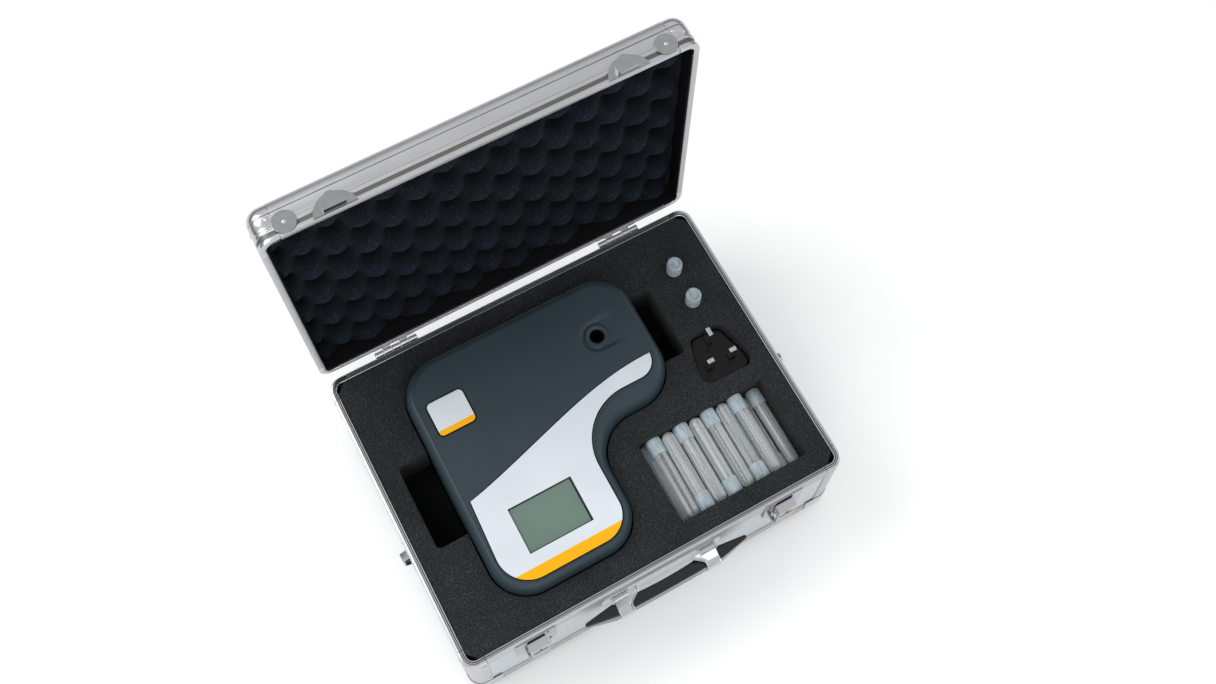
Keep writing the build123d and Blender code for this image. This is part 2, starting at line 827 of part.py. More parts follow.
with BuildPart() as meter_fascia:
    with BuildSketch(Plane.XY.offset(meter_top)):
        with BuildLine() as fascia_line:
            tip = foam_point(248.5, 153.6)
            left_top = foam_point(57, 111)
            left_low = foam_point(54.5, 58.5)
            Spline(
                tip, foam_point(200, 149.2), foam_point(150, 136.8), foam_point(100, 122), left_top
            )
            Line(left_top, left_low)
            FilletPolyline(
                left_low,
                foam_point(54.5, 29.5),
                foam_point(163.5, 29.5),
                foam_point(163.5, 137.3),
                foam_point(232, 137.3),
                radius=[28, 24, 50],
            )
            TangentArc(foam_point(232, 137.3), tip, tangent=(1, 0))
        make_face()
        with Locations(lcd_middle):
            Rectangle(lcd_width, lcd_height, mode=Mode.SUBTRACT)
    extrude(amount=label)
save(meter_fascia, "meter_fascia")

with BuildPart() as meter_window:
    with BuildSketch(Plane.XY.offset(meter_top - 1.8)):
        with Locations(lcd_middle):
            Rectangle(lcd_width - 0.2, lcd_height - 0.2)
    extrude(amount=1.2)
save(meter_window, "meter_window")

with BuildPart() as meter_display:
    with BuildSketch(Plane.XY.offset(meter_top - 5)):
        with Locations(lcd_middle):
            Rectangle(lcd_width - 0.2, lcd_height - 0.2)
    extrude(amount=3)
save(meter_display, "meter_display")

with BuildPart() as meter_badge:
    with BuildSketch(Plane.XY.offset(meter_top)):
        with Locations(badge_middle):
            RectangleRounded(33, 31, 4)
    extrude(amount=0.8)
save(meter_badge, "meter_badge")

with BuildPart() as meter_well_sleeve:
    with BuildSketch(Plane.XY.offset(meter_top - housing_wall - well_depth)):
        with Locations(well_spot):
            Circle(well_radius + 1.6)
            Circle(well_radius, mode=Mode.SUBTRACT)
    extrude(amount=well_depth)
save(meter_well_sleeve, "meter_well_sleeve")

with BuildPart() as meter_sensor_coil:
    with BuildSketch(Plane.XY.offset(meter_bottom + 14)):
        with Locations(well_spot):
            Circle(15)
            Circle(well_radius + 1.6, mode=Mode.SUBTRACT)
    extrude(amount=24)
save(meter_sensor_coil, "meter_sensor_coil")

with BuildPart() as meter_circuit_board:
    with BuildSketch(Plane.XY.offset(meter_bottom + 12)):
        with Locations(foam_point(109, 100)):
            Rectangle(60, 120)
    extrude(amount=1.6)
save(meter_circuit_board, "meter_circuit_board")

with BuildPart() as meter_screws:
    with BuildSketch(Plane.XY.offset(meter_bottom + housing_wall)):
        with Locations(*[foam_point(x, y) for x, y in [(72, 48), (146, 48), (70, 216), (234, 216)]]):
            Circle(3)
    extrude(amount=30)
save(meter_screws, "meter_screws")

# ---------------------------------------------------------------- tubes and caps
tube_wall = 1.0
tube_length = 72.0
cap_low = 60.0
cap_bore = tube_radius + 0.08


def make_tube(foot, direction, radial):
    """A clear round-ended tube that stands on foot and points along direction."""
    plane = Plane(origin=foot, x_dir=radial, z_dir=Vector(*radial).cross(Vector(*direction)))
    bend = math.sqrt(0.5)
    inner = tube_radius - tube_wall
    with BuildPart() as tube:
        with BuildSketch(plane):
            with BuildLine():
                ThreePointArc(
                    (0, 0), (tube_radius * bend, tube_radius * (1 - bend)), (tube_radius, tube_radius)
                )
                Polyline(
                    (tube_radius, tube_radius),
                    (tube_radius, tube_length),
                    (inner, tube_length),
                    (inner, tube_radius),
                )
                ThreePointArc(
                    (inner, tube_radius), (inner * bend, tube_radius - inner * bend), (0, tube_wall)
                )
                Line((0, tube_wall), (0, 0))
            make_face()
        revolve(axis=Axis(foot, direction))
    return tube


def make_cap(foot, direction, radial):
    """The cap of a tube that stands on foot: a skirt, a roof and a dished top."""
    plane = Plane(origin=foot, x_dir=radial, z_dir=Vector(*radial).cross(Vector(*direction)))
    with BuildPart() as cap:
        with BuildSketch(plane):
            with BuildLine():
                Polyline(
                    (cap_bore, cap_low),
                    (cap_radius, cap_low),
                    (cap_radius, tube_overall - 0.7),
                    (cap_radius - 0.7, tube_overall),
                    (cap_radius - 2.4, tube_overall),
                    (cap_radius - 2.6, tube_overall - 1.2),
                    (0, tube_overall - 1.2),
                    (0, tube_length + 0.1),
                    (cap_bore, tube_length + 0.1),
                    close=True,
                )
            make_face()
        revolve(axis=Axis(foot, direction))
    return cap


row_pitch = 13.4
tray_slack = (tray_back - tray_front - tube_overall) / 2


def lying(index, first_x, z):
    """Foot and direction of a tube in a row: every second one lies the other way."""
    x = first_x + index * row_pitch
    if index % 2 == 0:
        return (*foam_point(x, tray_front + tray_slack), z), (0, 1, 0)
    return (*foam_point(x, tray_back - tray_slack), z), (0, -1, 0)


lower_first = tray_left + 0.4 + cap_radius
upper_first = lower_first + row_pitch / 2
sideways = (1, 0, 0)
lower_tubes = BuildPart()
lower_caps = BuildPart()
lower_places = [lying(index, lower_first, lower_row_z) for index in range(9)]
with lower_tubes:
    for foot, direction in lower_places:
        add(make_tube(foot, direction, sideways).part)
with lower_caps:
    for foot, direction in lower_places:
        add(make_cap(foot, direction, sideways).part)
save(lower_tubes, "lower_tubes")
save(lower_caps, "lower_caps")

for index in range(7):
    foot, direction = lying(index, upper_first, upper_row_z)
    save(make_tube(foot, direction, sideways), f"sample_tube_{index + 1}")
    save(make_cap(foot, direction, sideways), f"sample_cap_{index + 1}")

for number, spot in enumerate(tube_spots, start=1):
    foot = (*foam_point(*spot), upright_seat)
    save(make_tube(foot, (0, 0, 1), sideways), f"upright_tube_{number}")
    save(make_cap(foot, (0, 0, 1), sideways), f"upright_cap_{number}")

# ---------------------------------------------------------------- plug head
pin_spots = [(-11.11, -6.5, 6.35, 3.97, 17.7), (11.11, -6.5, 6.35, 3.97, 17.7), (0, 15.72, 3.97, 7.92, 22.7)]
pin_root = 4.0

with BuildPart() as plug_body:
    with BuildSketch(Plane.XY.offset(plug_face_z - plug_thickness)):
        with BuildLine():
            plug_outline(0)
        make_face()
    extrude(amount=plug_thickness)
    plug_x, plug_y = foam_point(*plug_centre)
    for x, y, width, depth, reach in pin_spots:
        with BuildSketch(Plane.XY.offset(plug_face_z - pin_root)):
            with Locations((plug_x + x, plug_y + y)):
                Rectangle(width, depth)
        extrude(amount=pin_root, mode=Mode.SUBTRACT)
save(plug_body, "plug_body")

with BuildPart() as plug_pins:
    for x, y, width, depth, reach in pin_spots:
        with BuildSketch(Plane.XY.offset(plug_face_z - pin_root)):
            with Locations((plug_x + x, plug_y + y)):
                Rectangle(width, depth)
        extrude(amount=pin_root + reach)
save(plug_pins, "plug_pins")
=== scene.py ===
import json
import math

import bmesh
import bpy
from mathutils import Matrix, Vector, noise


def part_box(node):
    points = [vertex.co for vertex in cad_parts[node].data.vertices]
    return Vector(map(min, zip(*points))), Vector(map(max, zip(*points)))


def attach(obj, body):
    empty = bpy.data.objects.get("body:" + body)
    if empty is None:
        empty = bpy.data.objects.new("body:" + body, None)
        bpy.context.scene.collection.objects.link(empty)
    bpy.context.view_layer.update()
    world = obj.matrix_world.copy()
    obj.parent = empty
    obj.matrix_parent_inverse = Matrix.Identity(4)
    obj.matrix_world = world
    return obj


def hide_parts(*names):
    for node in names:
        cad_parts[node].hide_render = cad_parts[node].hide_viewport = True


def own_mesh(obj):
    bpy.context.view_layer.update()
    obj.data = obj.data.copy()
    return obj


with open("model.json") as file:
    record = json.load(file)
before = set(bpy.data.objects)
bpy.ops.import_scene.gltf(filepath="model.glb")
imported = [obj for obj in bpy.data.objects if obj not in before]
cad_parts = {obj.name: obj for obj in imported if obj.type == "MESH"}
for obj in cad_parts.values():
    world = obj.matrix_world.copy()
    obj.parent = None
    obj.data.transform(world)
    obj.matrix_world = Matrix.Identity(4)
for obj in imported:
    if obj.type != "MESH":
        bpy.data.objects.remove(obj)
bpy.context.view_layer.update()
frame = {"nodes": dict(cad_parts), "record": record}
nodes = frame["nodes"]
mm = 0.001
bodies = frame["record"]["behaviour"]["bodies"]
nodeBody = {node: body for body, members in bodies.items() for node in members}
print("frame loaded")


def newObject(name, data):
    made = bpy.data.objects.new(name, data)
    bpy.context.scene.collection.objects.link(made)
    return made


# camera, light and floor

viewValues = {
    "eye": (10.5, -188.7, 1181.3),  # from the base rim's low front left corner, mm
    "sight": (0.22369, 0.37151, -0.90108),
    "up": (0.42912, 0.79254, 0.43329),
    "lens": 42.63,
    "shift": (-0.01077, -0.1109),
}


def addCamera(values):
    low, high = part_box("base_rim_rails")
    eye = Vector((low.x, low.y, high.z)) + Vector(values["eye"]) * mm
    back = -Vector(values["sight"]).normalized()
    right = Vector(values["up"]).cross(back).normalized()
    up = back.cross(right)
    turn = Matrix((right, up, back)).transposed().to_4x4()
    camera = newObject("camera", bpy.data.cameras.new("camera"))
    camera.data.lens = values["lens"]
    camera.data.sensor_width = 36
    camera.data.shift_x, camera.data.shift_y = values["shift"]
    camera.data.clip_start = 0.01
    camera.matrix_world = Matrix.Translation(eye) @ turn
    bpy.context.scene.camera = camera


lightValues = {
    "overhead": {"place": (-1.15, 0.9, 1.9), "aim": (0.0, 0.0, 0.1), "size": 1.3, "power": 17},
    "front": {"place": (-0.6, -1.8, 1.2), "aim": (0.0, 0.0, 0.1), "size": 1.6, "power": 11},
    "right": {"place": (1.7, -0.3, 0.9), "aim": (0.0, 0.0, 0.1), "size": 0.9, "power": 3.5},
}


def addLight(name, values):
    light = bpy.data.lights.new(name, "AREA")
    light.shape = "SQUARE"
    light.size = values["size"]
    light.energy = values["power"]
    lamp = newObject(name, light)
    place = Vector(values["place"])
    lamp.location = place
    lamp.rotation_euler = (Vector(values["aim"]) - place).to_track_quat("-Z", "Y").to_euler()


worldValues = {"low": (0.20, 0.21, 0.23), "high": (1.0, 1.0, 1.0), "strength": 0.88}


def addWorld(values):
    world = bpy.data.worlds.new("studio")
    bpy.context.scene.world = world
    world.use_nodes = True
    tree = world.node_tree
    background = tree.nodes["Background"]
    coords = tree.nodes.new("ShaderNodeTexCoord")
    split = tree.nodes.new("ShaderNodeSeparateXYZ")
    ramp = tree.nodes.new("ShaderNodeValToRGB")
    ramp.color_ramp.elements[0].position = 0.05
    ramp.color_ramp.elements[0].color = (*values["low"], 1)
    ramp.color_ramp.elements[1].position = 0.55
    ramp.color_ramp.elements[1].color = (*values["high"], 1)
    tree.links.new(coords.outputs["Generated"], split.inputs[0])
    tree.links.new(split.outputs["Z"], ramp.inputs[0])
    tree.links.new(ramp.outputs[0], background.inputs["Color"])
    background.inputs["Strength"].default_value = values["strength"]


def addFloor():
    size = 6.0
    mesh = bpy.data.meshes.new("floor")
    corners = [(-size, -size, 0), (size, -size, 0), (size, size, 0), (-size, size, 0)]
    mesh.from_pydata(corners, [], [(0, 1, 2, 3)])
    floor = newObject("floor", mesh)
    paper = bpy.data.materials.new("floorPaper")
    paper.use_nodes = True
    shader = paper.node_tree.nodes["Principled BSDF"]
    shader.inputs["Base Color"].default_value = (0.985, 0.985, 0.985, 1)
    shader.inputs["Roughness"].default_value = 0.9
    mesh.materials.append(paper)


addCamera(viewValues)
for lightName, lightSetting in lightValues.items():
    addLight(lightName, lightSetting)
addWorld(worldValues)
addFloor()
bpy.context.scene.view_settings.view_transform = "Standard"
bpy.context.scene.cycles.transparent_max_bounces = 24
print("camera, light and floor ready")


# shader groups: effects that more than one material uses

def newGroup(name, inputs, outputs):
    tree = bpy.data.node_groups.new(name, "ShaderNodeTree")
    for label, kind, value in inputs:
        socket = tree.interface.new_socket(label, in_out="INPUT", socket_type=kind)
        if value is not None:
            socket.default_value = value
    for label, kind in outputs:
        tree.interface.new_socket(label, in_out="OUTPUT", socket_type=kind)
    start = tree.nodes.new("NodeGroupInput")
    end = tree.nodes.new("NodeGroupOutput")
    return tree, start, end


def mathNode(tree, operation, first, second=None, clamp=False):
    node = tree.nodes.new("ShaderNodeMath")
    node.operation = operation
    node.use_clamp = clamp
    for index, value in enumerate((first, second)):
        if value is None:
            continue
        if isinstance(value, (int, float)):
            node.inputs[index].default_value = value
        else:
            tree.links.new(value, node.inputs[index])
    return node.outputs[0]


def mapRange(tree, value, fromRange, toRange=(0.0, 1.0)):
    node = tree.nodes.new("ShaderNodeMapRange")
    node.inputs["From Min"].default_value, node.inputs["From Max"].default_value = fromRange
    node.inputs["To Min"].default_value, node.inputs["To Max"].default_value = toRange
    tree.links.new(value, node.inputs["Value"])
    return node.outputs["Result"]


def noiseNode(tree, vector, scale, detail=3.0, roughness=0.55):
    node = tree.nodes.new("ShaderNodeTexNoise")
    node.inputs["Detail"].default_value = detail
    node.inputs["Roughness"].default_value = roughness
    tree.links.new(vector, node.inputs["Vector"])
    if isinstance(scale, (int, float)):
        node.inputs["Scale"].default_value = scale
    else:
        tree.links.new(scale, node.inputs["Scale"])
    return node.outputs["Fac"]


def makeGrainGroup():
    # moulded or cast surface: fine grain with slow blotches
    tree, start, end = newGroup(
        "surfaceGrain",
        [("Vector", "NodeSocketVector", None), ("Grains per metre", "NodeSocketFloat", 1500.0),
         ("Blotches per metre", "NodeSocketFloat", 14.0)],
        [("Height", "NodeSocketFloat"), ("Blotch", "NodeSocketFloat")],
    )
    fine = noiseNode(tree, start.outputs["Vector"], start.outputs["Grains per metre"], 2.0)
    slow = noiseNode(tree, start.outputs["Vector"], start.outputs["Blotches per metre"], 4.0)
    tree.links.new(fine, end.inputs["Height"])
    tree.links.new(slow, end.inputs["Blotch"])
    return tree


def makeStreakGroup():
    # noise pulled out along one direction: the drawn or brushed grain of metal, and on the clear tubes
    # painted lengthwise highlight and shade streaks
    tree, start, end = newGroup(
        "drawnGrainAndStreakLight",
        [("Vector", "NodeSocketVector", None), ("Stretch", "NodeSocketVector", (8.0, 900.0, 900.0))],
        [("Streak", "NodeSocketFloat")],
    )
    scaled = tree.nodes.new("ShaderNodeVectorMath")
    scaled.operation = "MULTIPLY"
    tree.links.new(start.outputs["Vector"], scaled.inputs[0])
    tree.links.new(start.outputs["Stretch"], scaled.inputs[1])
    tree.links.new(noiseNode(tree, scaled.outputs[0], 1.0, 3.0, 0.6), end.inputs["Streak"])
    return tree


def makeWearGroup():
    # rubbed edges: where the surface is sharply convex, broken up by noise
    tree, start, end = newGroup(
        "edgeWear",
        [("Vector", "NodeSocketVector", None), ("Amount", "NodeSocketFloat", 0.5)],
        [("Mask", "NodeSocketFloat")],
    )
    shape = tree.nodes.new("ShaderNodeNewGeometry")
    sharp = mapRange(tree, shape.outputs["Pointiness"], (0.52, 0.62))
    broken = noiseNode(tree, start.outputs["Vector"], 260.0, 4.0)
    mask = mathNode(tree, "MULTIPLY", sharp, broken)
    tree.links.new(mathNode(tree, "MULTIPLY", mask, start.outputs["Amount"], clamp=True), end.inputs["Mask"])
    return tree


def makeDustGroup():
    # fine dust that settles on faces that look up
    tree, start, end = newGroup(
        "settledDust",
        [("Vector", "NodeSocketVector", None), ("Amount", "NodeSocketFloat", 0.1)],
        [("Mask", "NodeSocketFloat")],
    )
    shape = tree.nodes.new("ShaderNodeNewGeometry")
    split = tree.nodes.new("ShaderNodeSeparateXYZ")
    tree.links.new(shape.outputs["Normal"], split.inputs[0])
    up = mathNode(tree, "MAXIMUM", split.outputs["Z"], 0.0)
    cloud = noiseNode(tree, start.outputs["Vector"], 30.0, 5.0, 0.65)
    specks = noiseNode(tree, start.outputs["Vector"], 900.0, 1.0)
    mask = mathNode(tree, "MULTIPLY", mathNode(tree, "MULTIPLY", cloud, specks), up)
    tree.links.new(mathNode(tree, "MULTIPLY", mask, start.outputs["Amount"], clamp=True), end.inputs["Mask"])
    return tree


def makePoreGroup():
    # open cell foam: dark pores between lighter cell walls, with stray bright cells
    tree, start, end = newGroup(
        "foamPores",
        [("Vector", "NodeSocketVector", None), ("Cells per metre", "NodeSocketFloat", 900.0)],
        [("Wall", "NodeSocketFloat"), ("Spark", "NodeSocketFloat"), ("Height", "NodeSocketFloat")],
    )
    cells = tree.nodes.new("ShaderNodeTexVoronoi")
    tree.links.new(start.outputs["Vector"], cells.inputs["Vector"])
    tree.links.new(start.outputs["Cells per metre"], cells.inputs["Scale"])
    mottle = noiseNode(tree, start.outputs["Vector"], start.outputs["Cells per metre"], 2.0, 0.7)
    wall = mathNode(tree, "MULTIPLY", cells.outputs["Distance"], mottle)
    half = mathNode(tree, "MULTIPLY", start.outputs["Cells per metre"], 0.55)
    grit = noiseNode(tree, start.outputs["Vector"], half, 1.0)
    tree.links.new(mathNode(tree, "MULTIPLY", wall, 1.9, clamp=True), end.inputs["Wall"])
    tree.links.new(mapRange(tree, grit, (0.62, 0.78)), end.inputs["Spark"])
    tree.links.new(wall, end.inputs["Height"])
    return tree


grainGroup = makeGrainGroup()
streakGroup = makeStreakGroup()
wearGroup = makeWearGroup()
dustGroup = makeDustGroup()
poreGroup = makePoreGroup()


def startMaterial(name):
    material = bpy.data.materials.new(name)
    material.use_nodes = True
    tree = material.node_tree
    shader = tree.nodes["Principled BSDF"]
    coords = tree.nodes.new("ShaderNodeTexCoord")
    return material, tree, shader, coords.outputs["Object"]


def placeGroup(tree, group, vector, **values):
    node = tree.nodes.new("ShaderNodeGroup")
    node.node_tree = group
    tree.links.new(vector, node.inputs["Vector"])
    for label, value in values.items():
        node.inputs[label.replace("_", " ")].default_value = value
    return node


def mixColour(tree, factor, first, second):
    node = tree.nodes.new("ShaderNodeMix")
    node.data_type = "RGBA"
    tree.links.new(factor, node.inputs["Factor"])
    for socket, value in (("A", first), ("B", second)):
        target = [item for item in node.inputs if item.name == socket and item.type == "RGBA"][0]
        if isinstance(value, (tuple, list)):
            target.default_value = (*value, 1)
        else:
            tree.links.new(value, target)
    return [item for item in node.outputs if item.type == "RGBA"][0]


def rangeOf(tree, noiseValue, low, high):
    # stretches a noise over the wanted range
    return mapRange(tree, noiseValue, (0.3, 0.7), (low, high))


def bumpFrom(tree, shader, height, strength, distance):
    bump = tree.nodes.new("ShaderNodeBump")
    bump.inputs["Strength"].default_value = strength
    bump.inputs["Distance"].default_value = distance
    tree.links.new(height, bump.inputs["Height"])
    tree.links.new(bump.outputs[0], shader.inputs["Normal"])


def lighter(colour, factor):
    return tuple(min(1.0, part * factor) for part in colour)


def metalFinish(name, values):
    material, tree, shader, coords = startMaterial(name)
    colour = values["colour"]
    streaks = placeGroup(tree, streakGroup, coords, Stretch=values["stretch"])
    grain = placeGroup(tree, grainGroup, coords, Grains_per_metre=values.get("grain", 1800.0))
    wear = placeGroup(tree, wearGroup, coords, Amount=values.get("wear", 0.5))
    shade = rangeOf(tree, streaks.outputs["Streak"], 0.0, 1.0)
    body = mixColour(tree, shade, lighter(colour, 0.93), lighter(colour, 1.05))
    worn = mixColour(tree, wear.outputs["Mask"], body, lighter(colour, 1.25))
    tree.links.new(worn, shader.inputs["Base Color"])
    low, high = values["rough"]
    spread = mathNode(tree, "ADD", mathNode(tree, "MULTIPLY", streaks.outputs["Streak"], 0.5),
                      mathNode(tree, "MULTIPLY", grain.outputs["Blotch"], 0.5))
    tree.links.new(rangeOf(tree, spread, low, high), shader.inputs["Roughness"])
    shader.inputs["Metallic"].default_value = values.get("metallic", 1.0)
    bumpFrom(tree, shader, streaks.outputs["Streak"], values.get("bump", 0.12), 0.00004)
    return material


def plasticFinish(name, values):
    material, tree, shader, coords = startMaterial(name)
    colour = values["colour"]
    grain = placeGroup(tree, grainGroup, coords, Grains_per_metre=values.get("grain", 1600.0))
    wear = placeGroup(tree, wearGroup, coords, Amount=values.get("wear", 0.35))
    dust = placeGroup(tree, dustGroup, coords, Amount=values.get("dust", 0.06))
    shade = rangeOf(tree, grain.outputs["Blotch"], 0.0, 1.0)
    body = mixColour(tree, shade, lighter(colour, 0.94), lighter(colour, 1.06))
    worn = mixColour(tree, wear.outputs["Mask"], body, lighter(colour, 1.7))
    tree.links.new(mixColour(tree, dust.outputs["Mask"], worn, (0.5, 0.5, 0.48)), shader.inputs["Base Color"])
    low, high = values["rough"]
    tree.links.new(rangeOf(tree, grain.outputs["Blotch"], low, high), shader.inputs["Roughness"])
    shader.inputs["Specular IOR Level"].default_value = values.get("specular", 0.5)
    bumpFrom(tree, shader, grain.outputs["Height"], values.get("bump", 0.15), values.get("depth", 0.00005))
    return material


def foamFinish(name, values):
    material, tree, shader, coords = startMaterial(name)
    pores = placeGroup(tree, poreGroup, coords, Cells_per_metre=values["cells"])
    grain = placeGroup(tree, grainGroup, coords, Blotches_per_metre=22.0)
    walls = mixColour(tree, pores.outputs["Wall"], values["pore"], values["wall"])
    sparkle = mathNode(tree, "MULTIPLY", pores.outputs["Spark"], values["sparkle"])
    lit = mixColour(tree, sparkle, walls, values["spark"])
    slow = rangeOf(tree, grain.outputs["Blotch"], 0.0, 0.35)
    split = tree.nodes.new("ShaderNodeSeparateXYZ")
    tree.links.new(coords, split.inputs[0])
    # painted shade: the colour darkens with depth into the valleys, pockets and notches, where shade falls
    deep = mapRange(tree, split.outputs[values["axis"]], (values["light"], values["dark"]), (0.0, 0.93))
    blotched = mixColour(tree, slow, lit, values["pore"])
    paintedDepthShade = mixColour(tree, deep, blotched, lighter(values["pore"], 0.3))
    tree.links.new(paintedDepthShade, shader.inputs["Base Color"])
    shader.inputs["Roughness"].default_value = 0.95
    shader.inputs["Specular IOR Level"].default_value = 0.15
    shader.inputs["Sheen Weight"].default_value = values["sheen"]
    shader.inputs["Sheen Roughness"].default_value = 0.5
    bumpFrom(tree, shader, pores.outputs["Height"], 0.7, values["depth"])
    return material


def clearFinish(name, values):
    # a thin clear wall: what lies behind shows through it, less so where it is seen at a slant
    material, tree, shader, coords = startMaterial(name)
    # the streaks vary the tint and the haze; on the tubes, drawn out along their length and strong, they
    # paint lengthwise highlights and dark reflection lines
    streaks = placeGroup(tree, streakGroup, coords, Stretch=values["stretch"])
    shade = rangeOf(tree, streaks.outputs["Streak"], 0.0, 1.0)
    tint = mixColour(tree, shade, lighter(values["colour"], 0.9), lighter(values["colour"], 1.08))
    tree.links.new(tint, shader.inputs["Base Color"])
    shader.inputs["Roughness"].default_value = values["rough"]
    shader.inputs["Specular IOR Level"].default_value = values["specular"]
    passing = tree.nodes.new("ShaderNodeBsdfTransparent")
    passing.inputs["Color"].default_value = (*values["passing"], 1)
    slant = tree.nodes.new("ShaderNodeLayerWeight")
    slant.inputs["Blend"].default_value = 0.5
    haze = mapRange(tree, slant.outputs["Facing"], (0.0, 1.0), (values["middle"], values["edge"]))
    paintedStreakCover = rangeOf(tree, streaks.outputs["Streak"], 1 - values["streaky"], 1 + values["streaky"])
    blend = tree.nodes.new("ShaderNodeMixShader")
    cover = mathNode(tree, "MULTIPLY", haze, paintedStreakCover, clamp=True)
    tree.links.new(cover, blend.inputs["Fac"])
    tree.links.new(passing.outputs[0], blend.inputs[1])
    tree.links.new(shader.outputs[0], blend.inputs[2])
    tree.links.new(blend.outputs[0], tree.nodes["Material Output"].inputs["Surface"])
    return material


finishes = {
    "drawnAluminium": metalFinish("drawnAluminium", {
        "colour": (0.47, 0.485, 0.50), "rough": (0.32, 0.44), "stretch": (14.0, 14.0, 900.0)}),
    # painted shade: the dark colour of the groove floors stands in for the shadow in the rail grooves
    "grooveShadeAluminium": metalFinish("grooveShadeAluminium", {
        "colour": (0.15, 0.15, 0.135), "rough": (0.40, 0.55), "stretch": (14.0, 14.0, 900.0), "wear": 0.1}),
    "rolledAluminium": metalFinish("rolledAluminium", {
        "colour": (0.50, 0.515, 0.53), "rough": (0.16, 0.28), "stretch": (300.0, 300.0, 300.0)}),
    "boardSheet": metalFinish("boardSheet", {
        "colour": (0.53, 0.565, 0.59), "rough": (0.42, 0.55), "stretch": (500.0, 500.0, 24.0),
        "metallic": 0.35,
        "bump": 0.05}),
    "polishedPlate": metalFinish("polishedPlate", {
        "colour": (0.52, 0.53, 0.545), "rough": (0.07, 0.15), "stretch": (160.0, 160.0, 160.0),
        "bump": 0.05}),
    "darkPlate": metalFinish("darkPlate", {
        "colour": (0.33, 0.335, 0.345), "rough": (0.08, 0.18), "stretch": (160.0, 160.0, 160.0),
        "bump": 0.05}),
    "satinPlate": metalFinish("satinPlate", {
        "colour": (0.44, 0.45, 0.46), "rough": (0.25, 0.38), "stretch": (900.0, 40.0, 900.0)}),
    "brightSteel": metalFinish("brightSteel", {
        "colour": (0.56, 0.57, 0.58), "rough": (0.16, 0.28), "stretch": (400.0, 400.0, 400.0)}),
    "keyBrass": metalFinish("keyBrass", {
        "colour": (0.62, 0.38, 0.12), "rough": (0.2, 0.3), "stretch": (500.0, 500.0, 500.0)}),
    "windingCopper": metalFinish("windingCopper", {
        "colour": (0.60, 0.27, 0.12), "rough": (0.25, 0.4), "stretch": (60.0, 60.0, 3000.0)}),
    "meterShell": plasticFinish("meterShell", {
        "colour": (0.021, 0.040, 0.051), "rough": (0.38, 0.48), "grain": 1500.0, "bump": 0.2,
        "specular": 0.32,
        "dust": 0.03, "wear": 0.12}),
    "fasciaFilm": plasticFinish("fasciaFilm", {
        "colour": (0.68, 0.735, 0.785), "rough": (0.34, 0.42), "grain": 2200.0, "bump": 0.03, "wear": 0.0,
        "specular": 0.3, "dust": 0.02}),
    "yellowInk": plasticFinish("yellowInk", {
        "colour": (0.96, 0.45, 0.004), "rough": (0.36, 0.44), "grain": 2200.0, "bump": 0.03, "wear": 0.0,
        "specular": 0.12, "dust": 0.02}),
    "displayGlass": plasticFinish("displayGlass", {
        "colour": (0.155, 0.245, 0.20), "rough": (0.25, 0.32), "bump": 0.0, "wear": 0.0, "specular": 0.3,
        "dust": 0.0}),
    "gripGloss": plasticFinish("gripGloss", {
        "colour": (0.0035, 0.0045, 0.0065), "rough": (0.10, 0.18), "bump": 0.04, "specular": 0.4,
        "dust": 0.02}),
    "plugGloss": plasticFinish("plugGloss", {
        "colour": (0.003, 0.003, 0.004), "rough": (0.16, 0.26), "bump": 0.03, "specular": 0.18,
        "dust": 0.02}),
    "darkLining": plasticFinish("darkLining", {
        "colour": (0.006, 0.007, 0.009), "rough": (0.4, 0.5), "specular": 0.25}),
    "solderMask": plasticFinish("solderMask", {
        "colour": (0.015, 0.11, 0.05), "rough": (0.3, 0.4)}),
    "slotShadow": plasticFinish("slotShadow", {
        "colour": (0.003, 0.003, 0.004), "rough": (0.6, 0.7), "dust": 0.0, "wear": 0.0, "specular": 0.1}),
    # light and dark: where the painted depth shade starts and where it is full, along the given axis
    "caseFoam": foamFinish("caseFoam", {
        "cells": 900.0, "pore": (0.0018, 0.0024, 0.003), "wall": (0.048, 0.055, 0.059),
        "spark": (0.11, 0.12, 0.125), "sparkle": 0.35, "sheen": 0.06, "depth": 0.0006,
        "axis": "Z", "dark": 0.085, "light": 0.1148}),
    "lidFoam": foamFinish("lidFoam", {
        "cells": 700.0, "pore": (0.0012, 0.0022, 0.0045), "wall": (0.018, 0.027, 0.043),
        "spark": (0.07, 0.085, 0.11), "sparkle": 0.4, "sheen": 0.0, "depth": 0.0006,
        "axis": "Y", "dark": 0.152, "light": 0.1405}),
    "clearWindow": clearFinish("clearWindow", {
        "colour": (0.5, 0.55, 0.53), "rough": 0.08, "specular": 0.5, "middle": 0.05, "edge": 0.4,
        "streaky": 0.1,
        "stretch": (40.0, 40.0, 40.0), "passing": (0.97, 0.985, 0.975)}),
    # streaky: how strongly the painted lengthwise highlight and shade streaks show in the tubes' haze
    "tubePlastic": clearFinish("tubePlastic", {
        "colour": (0.74, 0.765, 0.775), "rough": 0.12, "specular": 1.0, "middle": 0.24, "edge": 0.62,
        "streaky": 0.95,
        "stretch": (420.0, 6.0, 420.0), "passing": (0.93, 0.94, 0.945)}),
    "capPlastic": clearFinish("capPlastic", {
        "colour": (0.60, 0.70, 0.76), "rough": 0.2, "specular": 0.8, "middle": 0.42, "edge": 0.9,
        "streaky": 0.3,
        "stretch": (300.0, 60.0, 300.0), "passing": (0.86, 0.90, 0.92)}),
}
print("materials ready")


# making and finishing meshes

def finishPiece(piece, body, replaced=()):
    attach(piece, body)
    if replaced:
        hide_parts(*replaced)
    return piece


def pieceFromMesh(name, bm, materials, smoothAngle=32):
    mesh = bpy.data.meshes.new(name)
    bm.to_mesh(mesh)
    bm.free()
    for material in materials:
        mesh.materials.append(finishes[material])
    mesh.shade_smooth()
    mesh.set_sharp_from_angle(angle=math.radians(smoothAngle))
    piece = newObject(name, mesh)
    return piece


